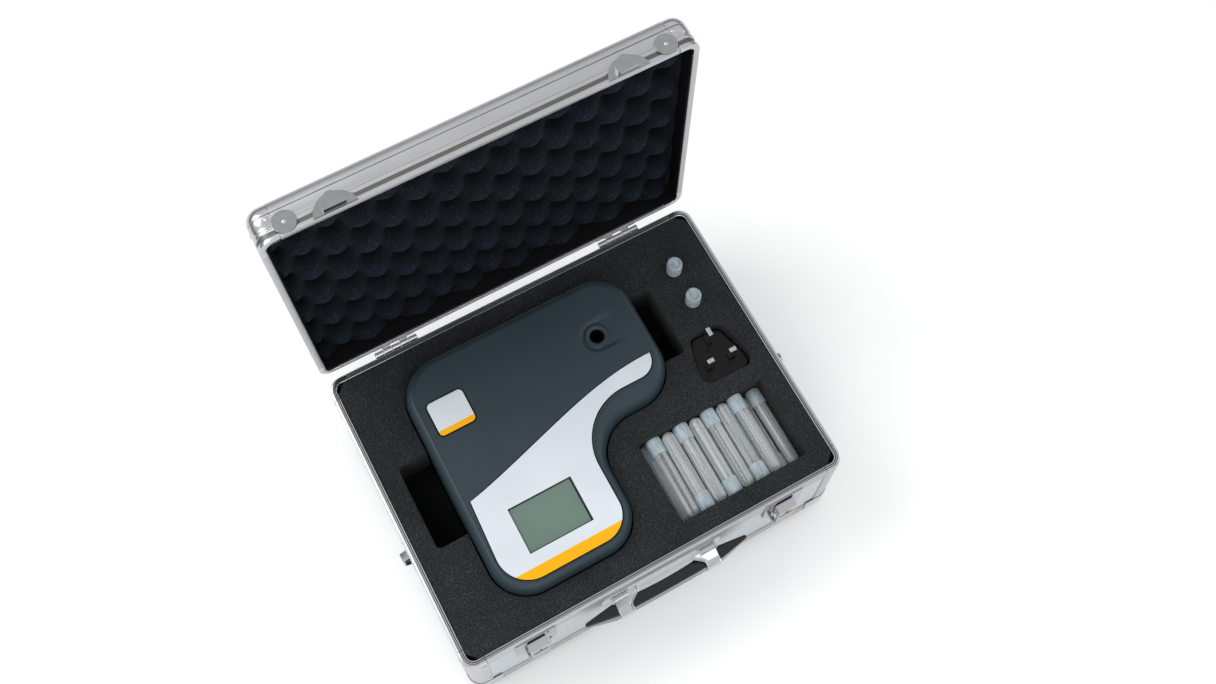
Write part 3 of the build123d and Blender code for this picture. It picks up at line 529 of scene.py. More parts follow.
def closedPiece(name, bm, materials, smoothAngle=32):
    bmesh.ops.recalc_face_normals(bm, faces=bm.faces)
    return pieceFromMesh(name, bm, materials, smoothAngle)


def addBevel(piece, width, segments=2, angle=30):
    bevel = piece.modifiers.new("edges", "BEVEL")
    bevel.width = width * mm
    bevel.segments = segments
    bevel.limit_method = "ANGLE"
    bevel.angle_limit = math.radians(angle)
    bevel.harden_normals = True
    return bevel


def copyOfNode(node):
    bm = bmesh.new()
    bm.from_mesh(nodes[node].data)
    bmesh.ops.remove_doubles(bm, verts=bm.verts, dist=0.002 * mm)
    bmesh.ops.dissolve_limit(bm, angle_limit=math.radians(0.6), verts=bm.verts, edges=bm.edges)
    return bm


def refineNode(node, name, material, bevel, segments=2):
    # the same shape with its edges broken, so that they catch the light
    piece = pieceFromMesh(name, copyOfNode(node), [material])
    addBevel(piece, bevel, segments)
    return finishPiece(piece, nodeBody[node], [node])


metalPieces = {
    "base_wall_panels": ("wallBoards", "boardSheet", 0.2),
    "base_bottom_panel": ("bottomBoard", "boardSheet", 0.2),
    "base_edge_rails": ("edgeRails", "drawnAluminium", 0.3),
    "base_corner_balls": ("cornerBalls", "polishedPlate", 0.3),
    "lid_roof_panel": ("roofBoard", "boardSheet", 0.2),
    "lid_corner_clips": ("lidClips", "darkPlate", 0.3),
    "hinge_base_leaves": ("hingeBaseLeaves", "polishedPlate", 0.2),
    "hinge_lid_leaves": ("hingeLidLeaves", "polishedPlate", 0.2),
    "latch_plates": ("latchPlates", "darkPlate", 0.3),
    "latch_keepers": ("latchKeepers", "darkPlate", 0.4),
    "latch_lever_left": ("latchLeverLeft", "satinPlate", 0.5),
    "latch_lever_right": ("latchLeverRight", "satinPlate", 0.5),
    "handle_mount": ("handleMount", "polishedPlate", 0.3),
    "strap_brackets": ("strapBrackets", "polishedPlate", 0.4),
    "handle_grip": ("handleGrip", "gripGloss", 2.2),
    "meter_bottom_housing": ("meterLowerShell", "meterShell", 0.5),
}
for node, (name, material, bevel) in metalPieces.items():
    refineNode(node, name, material, bevel)

plainNodes = {
    "hinge_pins": "brightSteel",
    "latch_claw_left": "brightSteel",
    "latch_claw_right": "brightSteel",
    "meter_display": "displayGlass",
    "meter_window": "clearWindow",
    "meter_well_sleeve": "darkLining",
    "meter_sensor_coil": "windingCopper",
    "meter_circuit_board": "solderMask",
    "meter_screws": "brightSteel",
}
for node, material in plainNodes.items():
    nodes[node].data.materials.clear()
    nodes[node].data.materials.append(finishes[material])
print("hardware finished")


# foam

foamValues = {"edge": 0.7}  # width of the softened edges, mm


def cutFoam(node, name):
    # the cut block with soft edges
    piece = pieceFromMesh(name, copyOfNode(node), ["caseFoam"])
    addBevel(piece, foamValues["edge"], 2)
    finishPiece(piece, nodeBody[node], [node])


cutFoam("foam_insert", "foamInsert")
cutFoam("foam_floor", "foamFloor")

eggCrateValues = {
    "pitch": 47.0,  # between crests along a row, mm
    "step": 1.7,  # grid step, mm
    "valley": 19.5,  # how deep the valleys lie under the crests, mm
    "border": 4.0,
    "chamfer": 8.0,
    "roundness": 0.72,
    "web": 1.4,  # what is left under the deepest valleys
}


def eggCrate(values):
    low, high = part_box("lid_foam")
    width, height = high.x - low.x, high.z - low.z
    columns = int(width / (values["step"] * mm))
    rows = int(height / (values["step"] * mm))
    half = values["pitch"] / 2 * mm
    chamferLeg = values["chamfer"] * mm

    def sink(x, z):
        wave = 0.5 + 0.5 * math.cos(math.pi * x / half) * math.cos(math.pi * z / half)
        bump = wave ** values["roundness"]
        edge = min(x, width - x, z, height - z) / (values["border"] * mm)
        ease = max(0.0, min(1.0, edge))
        ease = ease * ease * (3 - 2 * ease)
        wander = noise.noise(Vector((x * 28, z * 28, 3.1))) * 1.3
        return ((1 - bump) * values["valley"] + wander) * mm * (0.35 + 0.65 * ease) + (1 - ease) * 3 * mm

    bm = bmesh.new()
    front = []
    for row in range(rows + 1):
        z = height * row / rows
        line = []
        for column in range(columns + 1):
            x = width * column / columns
            # the corners are cut off like the block's
            pull = max(0.0, chamferLeg - min(x, width - x) - min(z, height - z)) / 2
            px = x + pull * (1 if x < width / 2 else -1)
            pz = z + pull * (1 if z < height / 2 else -1)
            y = min(low.y + max(0.3 * mm, sink(px, pz)), high.y - values["web"] * mm)
            line.append(bm.verts.new((low.x + px, y, low.z + pz)))
        front.append(line)
    for row in range(rows):
        for column in range(columns):
            a, b = front[row][column], front[row][column + 1]
            c, d = front[row + 1][column + 1], front[row + 1][column]
            bm.faces.new((a, b, c, d))
    rim = [front[0][i] for i in range(columns)] + [front[i][columns] for i in range(rows)]
    rim += [front[rows][columns - i] for i in range(columns)] + [front[rows - i][0] for i in range(rows)]
    backRim = [bm.verts.new((vert.co.x, high.y, vert.co.z)) for vert in rim]
    count = len(rim)
    for i in range(count):
        j = (i + 1) % count
        bm.faces.new((rim[i], backRim[i], backRim[j], rim[j]))
    bm.faces.new(list(reversed(backRim)))
    bmesh.ops.remove_doubles(bm, verts=bm.verts, dist=0.05 * mm)
    piece = closedPiece("eggCrateFoam", bm, ["lidFoam"], smoothAngle=60)
    finishPiece(piece, "lid", ["lid_foam"])
    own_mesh(piece)


eggCrate(eggCrateValues)
print("foam made")


# meter

meterValues = {
    "lobeWidth": 126.5,  # the display end
    "armUnder": 96.5,  # from the front to the underside of the arm
    "wallRadii": (34, 32, 38, 36, 33, 36),
    "plateauInset": {"left": 7.0, "right": 7.0, "front": 5.5, "back": 7.0, "lobe": 6.5, "arm": 16.0},
    "plateauRadii": (29, 26, 50, 27, 28, 30),
    "shoulder": 13.0,
    "ledge": 1.2,
    "arcSteps": 16,
    "shoulderSteps": 12,
    "displayRoom": 0.1,
    "displayRadius": 0.4,
    "badgeRoom": 1.3,
    "badgeRadius": 5.2,
}


def roundedLoop(corners, radii, steps):
    # points of a closed outline whose corners are arcs; equal counts for equal steps
    points = []
    count = len(corners)
    for i, corner in enumerate(corners):
        here = Vector(corner)
        toLast = (Vector(corners[i - 1]) - here).normalized()
        toNext = (Vector(corners[(i + 1) % count]) - here).normalized()
        half = toLast.angle(toNext) / 2
        radius = radii[i]
        reach = radius / math.tan(half)
        start, end = here + toLast * reach, here + toNext * reach
        centre = here + (toLast + toNext).normalized() * (radius / math.sin(half))
        first, last = start - centre, end - centre
        turn = first.angle_signed(last)
        for step in range(steps + 1):
            angle = -turn * step / steps
            points.append(centre + Matrix.Rotation(angle, 2) @ first)
    return points


def insetLoop(points, amount):
    # moves an anticlockwise outline inward
    count = len(points)
    moved = []
    for i, point in enumerate(points):
        along = (points[(i + 1) % count] - points[i - 1]).normalized()
        moved.append(point + Vector((-along.y, along.x)) * amount)
    return moved


def meterOutlines(values):
    low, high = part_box("meter_bottom_housing")
    x0, x1, y0, y1 = low.x, high.x, low.y, high.y
    xl, ya = x0 + values["lobeWidth"] * mm, y0 + values["armUnder"] * mm
    wall = [(x0, y0), (xl, y0), (xl, ya), (x1, ya), (x1, y1), (x0, y1)]
    gap = {side: inset * mm for side, inset in values["plateauInset"].items()}
    a0, a1, b0, b1 = x0 + gap["left"], x1 - gap["right"], y0 + gap["front"], y1 - gap["back"]
    al, ba = xl - gap["lobe"], ya + gap["arm"]
    top = [(a0, b0), (al, b0), (al, ba), (a1, ba), (a1, b1), (a0, b1)]
    steps = values["arcSteps"]
    wallLoop = roundedLoop(wall, [r * mm for r in values["wallRadii"]], steps)
    topLoop = roundedLoop(top, [r * mm for r in values["plateauRadii"]], steps)
    return wallLoop, topLoop


wellValues = {
    "dishRadius": 13.4,
    "dishDepth": 1.5,
    "bossRadius": 10.4,
    "bossRise": 2.1,
    "patch": 30.0,
    "fadeStart": 4.0,
    "fadeEnd": 27.0,
    "spokes": 72,
}


def smoothStep(low, high, value):
    part = max(0.0, min(1.0, (value - low) / (high - low)))
    return part * part * (3 - 2 * part)


def wellHeight(x, y, values):
    # a dish that fades out to the right, with a raised ring round the hole, mm
    radius = math.hypot(x, y)
    reach = math.hypot(min(x, 0.0), y)
    dish = 1 - smoothStep(values["dishRadius"] - 1.4, values["dishRadius"] + 1.2, reach)
    fade = 1 - smoothStep(values["fadeStart"], values["fadeEnd"], x)
    ring = 1 - smoothStep(values["bossRadius"] - 0.7, values["bossRadius"] + 1.3, radius)
    lip = 1 - smoothStep(0, 1.6, radius - 6.4)
    edge = 1 - smoothStep(values["patch"] - 4, values["patch"] - 0.5, radius)
    return (-values["dishDepth"] * dish * fade + values["bossRise"] * ring - 0.9 * lip * lip) * edge


def rectangleLoop(low, high, radius, steps):
    corners = [(low[0], low[1]), (high[0], low[1]), (high[0], high[1]), (low[0], high[1])]
    return roundedLoop(corners, [radius] * 4, steps)


def loopRound(node, room, radius, steps):
    # a rounded outline a little wider than a node's box, mm
    low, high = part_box(node)
    margin = Vector((room, room)) * mm
    return rectangleLoop(low.xy - margin, high.xy + margin, radius * mm, steps)


def bridge(bm, lower, upper):
    count = len(lower)
    for i in range(count):
        j = (i + 1) % count
        bm.faces.new((lower[i], lower[j], upper[j], upper[i]))


def ringAt(bm, loop, z):
    return [bm.verts.new((point.x, point.y, z)) for point in loop]


def meterTopShell(values, well):
    low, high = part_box("meter_top_housing")
    wallLoop, topLoop = meterOutlines(values)
    top = high.z
    shoulderZ = top - values["shoulder"] * mm
    ledgeZ = top - values["ledge"] * mm
    bm = bmesh.new()
    rings = [ringAt(bm, insetLoop(wallLoop, 2.5 * mm), low.z), ringAt(bm, wallLoop, low.z)]
    steps = values["shoulderSteps"]
    for step in range(steps + 1):
        angle = math.pi / 2 * step / steps
        part, rise = 1 - math.cos(angle), math.sin(angle)
        loop = [a.lerp(b, part) for a, b in zip(wallLoop, topLoop)]
        rings.append(ringAt(bm, loop, shoulderZ + (ledgeZ - shoulderZ) * rise))
    rings.append(ringAt(bm, insetLoop(topLoop, 0.5 * mm), ledgeZ + 0.05 * mm))
    rings.append(ringAt(bm, insetLoop(topLoop, 0.8 * mm), top - 0.3 * mm))
    rings.append(ringAt(bm, insetLoop(topLoop, 1.2 * mm), top))
    for lower, upper in zip(rings, rings[1:]):
        bridge(bm, lower, upper)
    # openings in the flat top: display recess, badge recess and the well's patch
    recess = loopRound("meter_window", values["displayRoom"], values["displayRadius"], 2)
    groove = loopRound("meter_badge", values["badgeRoom"], values["badgeRadius"], 8)
    sleeveLow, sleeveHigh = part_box("meter_well_sleeve")
    holes = []
    for loop, depth in ((recess, 5.0), (groove, 0.9)):
        upper = ringAt(bm, loop, top)
        lower = ringAt(bm, loop, top - depth * mm)
        bridge(bm, upper, lower)
        if loop is groove:
            bm.faces.new(lower)
        holes.append(upper)
    centre = (sleeveLow + sleeveHigh).xy / 2
    spokes = well["spokes"]
    radii = [6.4, 6.8, 7.2, 7.8, 8.6, 9.2, 9.8, 10.4, 11.0, 11.6, 12.2, 12.8, 13.4, 14.0, 14.6, 15.6]
    radii += [17 + 2 * k for k in range(7)]
    last = [bm.verts.new((centre.x + 6.4 * mm * math.cos(math.tau * k / spokes),
                          centre.y + 6.4 * mm * math.sin(math.tau * k / spokes), top - 4 * mm))
            for k in range(spokes)]
    for radius in radii + [well["patch"]]:
        ring = []
        for k in range(spokes):
            x, y = radius * math.cos(math.tau * k / spokes), radius * math.sin(math.tau * k / spokes)
            rise = 0.0 if radius == well["patch"] else wellHeight(x, y, well)
            ring.append(bm.verts.new((centre.x + x * mm, centre.y + y * mm, top + rise * mm)))
        bridge(bm, last, ring)
        last = ring
    holes.append(last)
    border = []
    for loop in [rings[-1]] + holes:
        count = len(loop)
        for i in range(count):
            border.append(bm.edges.get((loop[i], loop[(i + 1) % count])))
    bmesh.ops.triangle_fill(bm, use_beauty=True, use_dissolve=False, edges=border)
    # the inner faces close the shell
    ceiling = ringAt(bm, insetLoop(wallLoop, 2.5 * mm), shoulderZ)
    bridge(bm, ceiling, rings[0])
    piece = closedPiece("meterTopShell", bm, ["meterShell"], smoothAngle=28)
    return finishPiece(piece, "meter", ["meter_top_housing"])


meterTopShell(meterValues, wellValues)

fasciaValues = {"band": 9.4}  # height of the yellow band, mm
badgeValues = {"band": 5.0, "corner": 4.0, "cornerSteps": 10}


def fasciaFilm(values):
    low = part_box("meter_fascia")[0]
    border = low.y + values["band"] * mm
    bm = copyOfNode("meter_fascia")
    whole = bm.verts[:] + bm.edges[:] + bm.faces[:]
    bmesh.ops.bisect_plane(bm, geom=whole, dist=0.001 * mm, plane_co=(0, border, 0), plane_no=(0, 1, 0))
    for face in bm.faces:
        face.material_index = 1 if face.calc_center_median().y < border else 0
    piece = pieceFromMesh("fasciaFilm", bm, ["fasciaFilm", "yellowInk"])
    finishPiece(piece, "meter", ["meter_fascia"])


def badgePlate(values):
    low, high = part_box("meter_badge")
    band = low.y + values["band"] * mm
    bm = bmesh.new()
    loop = rectangleLoop(low.xy, high.xy, badgeValues["corner"] * mm, badgeValues["cornerSteps"])
    rings = [ringAt(bm, loop, low.z - 0.8 * mm), ringAt(bm, loop, high.z - 0.5 * mm),
             ringAt(bm, insetLoop(loop, 0.25 * mm), high.z - 0.2 * mm),
             ringAt(bm, insetLoop(loop, 0.7 * mm), high.z - 0.1 * mm)]
    for lower, upper in zip(rings, rings[1:]):
        bridge(bm, lower, upper)
    bm.faces.new(rings[-1])
    bm.faces.new(list(reversed(rings[0])))
    whole = bm.verts[:] + bm.edges[:] + bm.faces[:]
    bmesh.ops.bisect_plane(bm, geom=whole, dist=0.001 * mm, plane_co=(0, band, 0), plane_no=(0, 1, 0))
    for face in bm.faces:
        face.material_index = 1 if face.calc_center_median().y < band else 0
    piece = pieceFromMesh("badgePlate", bm, ["fasciaFilm", "yellowInk"])
    finishPiece(piece, "meter", ["meter_badge"])


grooveAndShadowValues = {"width": 0.95, "lift": 0.06, "displayInset": 1.1, "displayShade": 1.7}


def outlineOf(node):
    # the outer loop of a flat node's top face, in order
    bm = copyOfNode(node)
    top = max(vert.co.z for vert in bm.verts)
    faces = [f for f in bm.faces if f.normal.z > 0.9 and all(abs(v.co.z - top) < 0.05 * mm for v in f.verts)]
    inside = set(faces)
    edges = [e for f in faces for e in f.edges if sum(1 for g in e.link_faces if g in inside) == 1]
    follow = {}
    for edge in set(edges):
        face = [g for g in edge.link_faces if g in inside][0]
        for loop in face.loops:
            if loop.edge == edge:
                follow[loop.vert] = loop.link_loop_next.vert
    loops = []
    while follow:
        start = next(iter(follow))
        loop, here = [], start
        while here in follow:
            loop.append(here.co.copy())
            here = follow.pop(here)
        loops.append(loop)
    bm.free()
    longest = max(loops, key=lambda loop: sum((a - b).length for a, b in zip(loop, loop[1:])))
    return [Vector((p.x, p.y)) for p in longest]


def fasciaGroove(values):
    loop = outlineOf("meter_fascia")
    bm = bmesh.new()
    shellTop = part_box("meter_top_housing")[1].z
    level = shellTop + values["lift"] * mm
    near = ringAt(bm, insetLoop(loop, 0.05 * mm), level)
    far = ringAt(bm, insetLoop(loop, -values["width"] * mm), level)
    deepNear = ringAt(bm, insetLoop(loop, 0.05 * mm), level - 0.4 * mm)
    deepFar = ringAt(bm, insetLoop(loop, -values["width"] * mm), level - 0.4 * mm)
    for a, b in ((far, near), (near, deepNear), (deepNear, deepFar), (deepFar, far)):
        bridge(bm, a, b)
    piece = closedPiece("fasciaGroove", bm, ["slotShadow"])
    finishPiece(piece, "meter")


def badgeGroove(values):
    # a dark gap round the badge, drawn on the shell
    low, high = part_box("meter_badge")
    loop = rectangleLoop(low.xy, high.xy, badgeValues["corner"] * mm, badgeValues["cornerSteps"])
    level = max(low.z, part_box("meter_top_housing")[1].z) + values["lift"] * mm
    near, far = insetLoop(loop, 0.05 * mm), insetLoop(loop, -values["width"] * mm)
    bm = bmesh.new()
    rings = [ringAt(bm, far, level), ringAt(bm, near, level),
             ringAt(bm, near, level - 0.4 * mm), ringAt(bm, far, level - 0.4 * mm)]
    for k, ring in enumerate(rings):
        bridge(bm, ring, rings[(k + 1) % 4])
    finishPiece(closedPiece("badgeGroove", bm, ["slotShadow"]), "meter")


def displayFrame(values):
    # painted shadow: a near-black band inside the display's recess stands in for its inner shadow, broadest
    # on the shaded sides
    low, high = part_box("meter_window")
    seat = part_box("meter_display")[1].z
    a, b = values["displayInset"] * mm, values["displayShade"] * mm
    outer = [Vector((x, y)) for x, y in ((low.x, low.y), (high.x, low.y), (high.x, high.y), (low.x, high.y))]
    inner = [Vector((low.x + a * 0.4, low.y + a)), Vector((high.x - b, low.y + a)),
             Vector((high.x - b, high.y - a * 0.7)), Vector((low.x + a * 0.4, high.y - a * 0.7))]
    bm = bmesh.new()
    up = [ringAt(bm, outer, seat + 0.35 * mm), ringAt(bm, inner, seat + 0.2 * mm)]
    down = [ringAt(bm, outer, seat + 0.05 * mm), ringAt(bm, inner, seat + 0.05 * mm)]
    for first, second in ((up[0], up[1]), (up[1], down[1]), (down[1], down[0]), (down[0], up[0])):
        bridge(bm, first, second)
    piece = closedPiece("displayFrame", bm, ["slotShadow"])
    finishPiece(piece, "meter")


fasciaFilm(fasciaValues)
badgePlate(badgeValues)
fasciaGroove(grooveAndShadowValues)
badgeGroove(grooveAndShadowValues)
displayFrame(grooveAndShadowValues)
print("meter made")


# sample tubes and caps

tubeValues = {
    "radius": 6.0,
    "wall": 0.9,
    "length": 72.0,
    "turns": 40,
}
capValues = {
    "radius": 7.0,
    "foot": 60.0,
    "overall": 74.6,
    "ribs": 24,
    "ribRise": 0.28,
}


def latheMesh(name, profile, spokes, material, ripple=None):
    # turns a profile of (radius, height) in mm about Z; ripple may add to the radius
    bm = bmesh.new()
    rings = []
    for radius, height in profile:
        if radius == 0:
            rings.append([bm.verts.new((0, 0, height * mm))])
            continue
        ring = []
        for k in range(spokes):
            r = radius + (ripple(k, height) if ripple and radius > 6.7 else 0)
            angle = math.tau * k / spokes
            ring.append(bm.verts.new((r * mm * math.cos(angle), r * mm * math.sin(angle), height * mm)))
        rings.append(ring)
    for lower, upper in zip(rings, rings[1:]):
        if len(lower) == len(upper) == 1:
            continue
        for k in range(spokes):
            j = (k + 1) % spokes
            corners = [lower[0]] if len(lower) == 1 else [lower[k], lower[j]]
            corners += [upper[0]] if len(upper) == 1 else [upper[j], upper[k]]
            bm.faces.new(corners)
    bmesh.ops.recalc_face_normals(bm, faces=bm.faces)
    mesh = bpy.data.meshes.new(name)
    bm.to_mesh(mesh)
    bm.free()
    mesh.materials.append(finishes[material])
    mesh.shade_smooth()
    mesh.set_sharp_from_angle(angle=math.radians(40))
    return mesh


def tubeMesh(values):
    r, wall, top = values["radius"], values["wall"], values["length"]
    inner = r - wall
    arc = [math.pi / 2 * k / 10 for k in range(11)]
    profile = [(r * math.sin(a), r - r * math.cos(a)) for a in arc]
    profile += [(r, 30), (r, 54), (r, top - 0.6), (r - 0.15, top - 0.15), (r - wall / 2, top)]
    profile += [(inner + 0.15, top - 0.15), (inner, 54), (inner, 30)]
    profile += [(inner * math.sin(a), r - inner * math.cos(a)) for a in reversed(arc)]
    profile[0], profile[-1] = (0, 0), (0, r - inner)
    return latheMesh("tubeForm", profile, values["turns"], "tubePlastic")


def capMesh(values):
    r, foot, top = values["radius"], values["foot"], values["overall"]
    ribs = values["ribs"]

    def ribbing(k, height):
        if height < foot + 1.2 or height > top - 2.2:
            return -0.12
        return (0.0, 0.0, -values["ribRise"], -values["ribRise"])[k % 4]

    profile = [(6.1, foot + 0.2), (6.5, foot), (r - 0.1, foot + 0.1), (r, foot + 0.6), (r, foot + 1.3),
               (r, foot + 2.0),
               (r, top - 3.0), (r, top - 2.2), (r, top - 1.0), (r - 0.25, top - 0.35), (r - 0.8, top),
               (r - 2.1, top), (r - 2.5, top - 0.3), (r - 2.7, top - 1.1), (2.6, top - 1.3),
               (2.2, top - 1.0), (0, top - 1.0)]
    profile += [(0, 72.2), (5.6, 72.2), (6.1, 71.6), (6.1, foot + 0.2)]
    mesh = latheMesh("capForm", profile, ribs * 4, "capPlastic", ribbing)
    tidy = bmesh.new()
    tidy.from_mesh(mesh)
    bmesh.ops.remove_doubles(tidy, verts=tidy.verts, dist=0.01 * mm)
    bmesh.ops.recalc_face_normals(tidy, faces=tidy.faces)
    tidy.to_mesh(mesh)
    tidy.free()
    mesh.set_sharp_from_angle(angle=math.radians(40))
    return mesh


def standInPlace(mesh, foot, direction, spin=0.0):
    placed = mesh.copy()
    turn = Vector((0, 0, 1)).rotation_difference(direction).to_matrix().to_4x4()
    placed.transform(Matrix.Translation(foot) @ turn @ Matrix.Rotation(spin, 4, "Z"))
    return placed


def tubePlace(tubeNode, capNode):
    # foot and direction of a tube, from where its own box and its cap's box lie
    low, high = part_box(tubeNode)
    capLow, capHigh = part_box(capNode)
    centre = (low + high) / 2
    capCentre = (capLow + capHigh) / 2
    size = high - low
    axis = max(range(3), key=lambda i: size[i])
    direction = Vector((0, 0, 0))
    direction[axis] = 1.0 if capCentre[axis] > centre[axis] else -1.0
    return centre - direction * size[axis] / 2, direction


tubeForm = tubeMesh(tubeValues)
capForm = capMesh(capValues)
singles = [(f"sample_tube_{n}", f"sample_cap_{n}", f"sampleTube{n}", f"sampleCap{n}") for n in range(1, 8)]
singles += [(f"upright_tube_{n}", f"upright_cap_{n}", f"uprightTube{n}", f"uprightCap{n}") for n in (1, 2)]
for index, (tubeNode, capNode, tubeName, capName) in enumerate(singles):
    foot, direction = tubePlace(tubeNode, capNode)
    for node, name, form in ((tubeNode, tubeName, tubeForm), (capNode, capName, capForm)):
        piece = newObject(name, standInPlace(form, foot, direction, index * 0.7))
        finishPiece(piece, nodeBody[node], [node])
print("sample tubes made")


# what repeats: one Geometry Nodes tree sets a form on points

def makeSettingTree():
    tree = bpy.data.node_groups.new("formsOnPoints", "GeometryNodeTree")
    sockets = [("Geometry", "NodeSocketGeometry"), ("Form", "NodeSocketObject"),
               ("Size", "NodeSocketFloat"), ("Finish", "NodeSocketMaterial")]
    for label, kind in sockets:
        tree.interface.new_socket(label, in_out="INPUT", socket_type=kind)
    tree.interface.new_socket("Geometry", in_out="OUTPUT", socket_type="NodeSocketGeometry")
    start, end = tree.nodes.new("NodeGroupInput"), tree.nodes.new("NodeGroupOutput")
    info = tree.nodes.new("GeometryNodeObjectInfo")
    facing = tree.nodes.new("GeometryNodeInputNamedAttribute")
    facing.data_type = "FLOAT_VECTOR"
    facing.inputs["Name"].default_value = "facing"
    turn = tree.nodes.new("FunctionNodeAlignRotationToVector")
    turn.axis = "Z"
    toPoints = tree.nodes.new("GeometryNodeMeshToPoints")
    place = tree.nodes.new("GeometryNodeInstanceOnPoints")
    real = tree.nodes.new("GeometryNodeRealizeInstances")
    paint = tree.nodes.new("GeometryNodeSetMaterial")
    for source, target in (
        (start.outputs["Geometry"], toPoints.inputs["Mesh"]),
        (start.outputs["Form"], info.inputs["Object"]),
        (facing.outputs["Attribute"], turn.inputs["Vector"]),
        (toPoints.outputs["Points"], place.inputs["Points"]),
        (info.outputs["Geometry"], place.inputs["Instance"]),
        (turn.outputs["Rotation"], place.inputs["Rotation"]),
        (start.outputs["Size"], place.inputs["Scale"]),
        (place.outputs["Instances"], real.inputs["Geometry"]),
        (real.outputs["Geometry"], paint.inputs["Geometry"]),
        (start.outputs["Finish"], paint.inputs["Material"]),
        (paint.outputs["Geometry"], end.inputs["Geometry"]),
    ):
        tree.links.new(source, target)
    return tree


settingTree = makeSettingTree()


def setForms(name, formMesh, places, finish, size=1.0):
    # places: (point, facing); returns one plain mesh object
    form = newObject(name + "Form", formMesh)
    mesh = bpy.data.meshes.new(name + "Points")
    mesh.from_pydata([tuple(point) for point, facing in places], [], [])
    attribute = mesh.attributes.new("facing", "FLOAT_VECTOR", "POINT")
    for item, (point, facing) in zip(attribute.data, places):
        item.vector = facing
    holder = newObject(name + "Points", mesh)
    modifier = holder.modifiers.new("setting", "NODES")
    modifier.node_group = settingTree
    sockets = settingTree.interface.items_tree
    named = {item.name: item.identifier for item in sockets if item.in_out == "INPUT"}
    modifier[named["Form"]] = form
    modifier[named["Size"]] = size
    modifier[named["Finish"]] = finishes[finish]
    graph = bpy.context.evaluated_depsgraph_get()
    plain = bpy.data.meshes.new_from_object(holder.evaluated_get(graph), depsgraph=graph)
    bpy.data.objects.remove(holder)
    bpy.data.objects.remove(form)
    plain.name = name
    if not plain.materials:
        plain.materials.append(finishes[finish])
    piece = newObject(name, plain)
    return piece


rivetValues = {"radius": 1.9, "rise": 0.75, "spokes": 20}


def rivetMesh(values):
    r, rise = values["radius"], values["rise"]
    profile = [(r, -0.3), (r, 0.12), (r * 0.93, rise * 0.5), (r * 0.72, rise * 0.82), (r * 0.42, rise * 0.97)]
    profile.append((0, rise))
    return latheMesh("rivetForm", profile, values["spokes"], "brightSteel")


def islandPlaces(node, drop):
    # the seat and outward direction of each small head in a node
    bm = copyOfNode(node)
    seen = set()
    places = []
    low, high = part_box(node)
    centre = (low + high) / 2
    for vert in bm.verts:
        if vert in seen:
            continue
        island, stack = [], [vert]
        seen.add(vert)
        while stack:
            here = stack.pop()
            island.append(here)
            for edge in here.link_edges:
                other = edge.other_vert(here)
                if other not in seen:
                    seen.add(other)
                    stack.append(other)
        corner = Vector([min(v.co[i] for v in island) for i in range(3)])
        far = Vector([max(v.co[i] for v in island) for i in range(3)])
        size = far - corner
        axis = min(range(3), key=lambda i: size[i])
        middle = (corner + far) / 2
        facing = Vector((0, 0, 0))
        facing[axis] = 1.0 if middle[axis] > centre[axis] else -1.0
        seat = middle - facing * size[axis] / 2 * drop
        places.append((seat, facing))
    bm.free()
    return places


rivetForm = rivetMesh(rivetValues)
for node, name in (("base_rivets", "baseRivets"), ("lid_rivets", "lidRivets")):
    rivets = setForms(name, rivetForm, islandPlaces(node, 1.0), "brightSteel")
    finishPiece(rivets, nodeBody[node], [node])


lowerValues = {"count": 9}


def lowerPlaces():
    # the lower layer's feet and directions, from the upper layer and the node's own box
    low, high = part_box("lower_tubes")
    capLow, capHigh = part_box("lower_caps")
    radius = tubeValues["radius"] * mm
    overall = capValues["overall"] * mm
    count = lowerValues["count"]
    z = (low.z + high.z) / 2
    places = []
    for k in range(count):
        x = low.x + radius + (high.x - low.x - 2 * radius) * k / (count - 1)
        if k % 2 == 0:
            places.append((Vector((x, capHigh.y - overall, z)), Vector((0, 1, 0))))
        else:
            places.append((Vector((x, capLow.y + overall, z)), Vector((0, -1, 0))))
    return places


for node, name, form, finish in (
    ("lower_tubes", "lowerTubes", tubeForm, "tubePlastic"),
    ("lower_caps", "lowerCaps", capForm, "capPlastic"),
):
    layer = setForms(name, form, lowerPlaces(), finish)
    finishPiece(layer, nodeBody[node], [node])
print("rivets and the lower layer set")


# rim and lid frames: one section swept round the rounded plan

frameValues = {
    "planRadius": 12.0,
    "cornerLeg": 18.0,
    "seam": 0.35,
    "seamCut": 0.45,
    "arcSteps": 8,
}
# (inset from the outer face, height over the rim), mm; a third value marks a groove
baseSection = [
    (1.0, -16.0), (0.0, -16.0), (0.0, -11.6), (0.3, -11.3, 1), (0.3, -10.9), (0.0, -10.6), (0.0, -6.6),
    (0.5, -6.1, 1), (0.5, -5.1), (0.0, -4.6), (0.0, -1.0), (0.3, -0.4), (0.9, -0.1), (2.2, -0.1),
    (2.4, -0.9, 1), (2.8, -0.9), (2.95, 0.0), (3.45, 0.0), (3.6, -1.5, 1), (4.4, -1.5), (4.6, 0.0),
    (5.2, 0.0), (5.5, -0.3),
    (5.5, -5.0), (1.0, -5.0),
]
lidSection = [
    (5.5, 6.0), (5.5, 0.3), (5.2, 0.0), (0.6, 0.0), (0.1, 0.3), (0.0, 0.9), (0.0, 3.1), (0.15, 3.4),
    (0.8, 3.8, 1), (0.8, 7.2), (0.15, 7.7), (0.0, 8.1), (0.0, 9.9), (0.1, 10.3), (0.4, 10.7, 2), (0.4, 13.0),
    (0.12, 13.4), (0.05, 20.0), (0.5, 20.3, 1), (0.5, 20.8), (0.1, 21.1),
]
lidSection += [(11.5 - 11.5 * math.cos(math.radians(a)), 21.5 + 11.5 * math.sin(math.radians(a)))
               for a in range(3, 91, 8)]
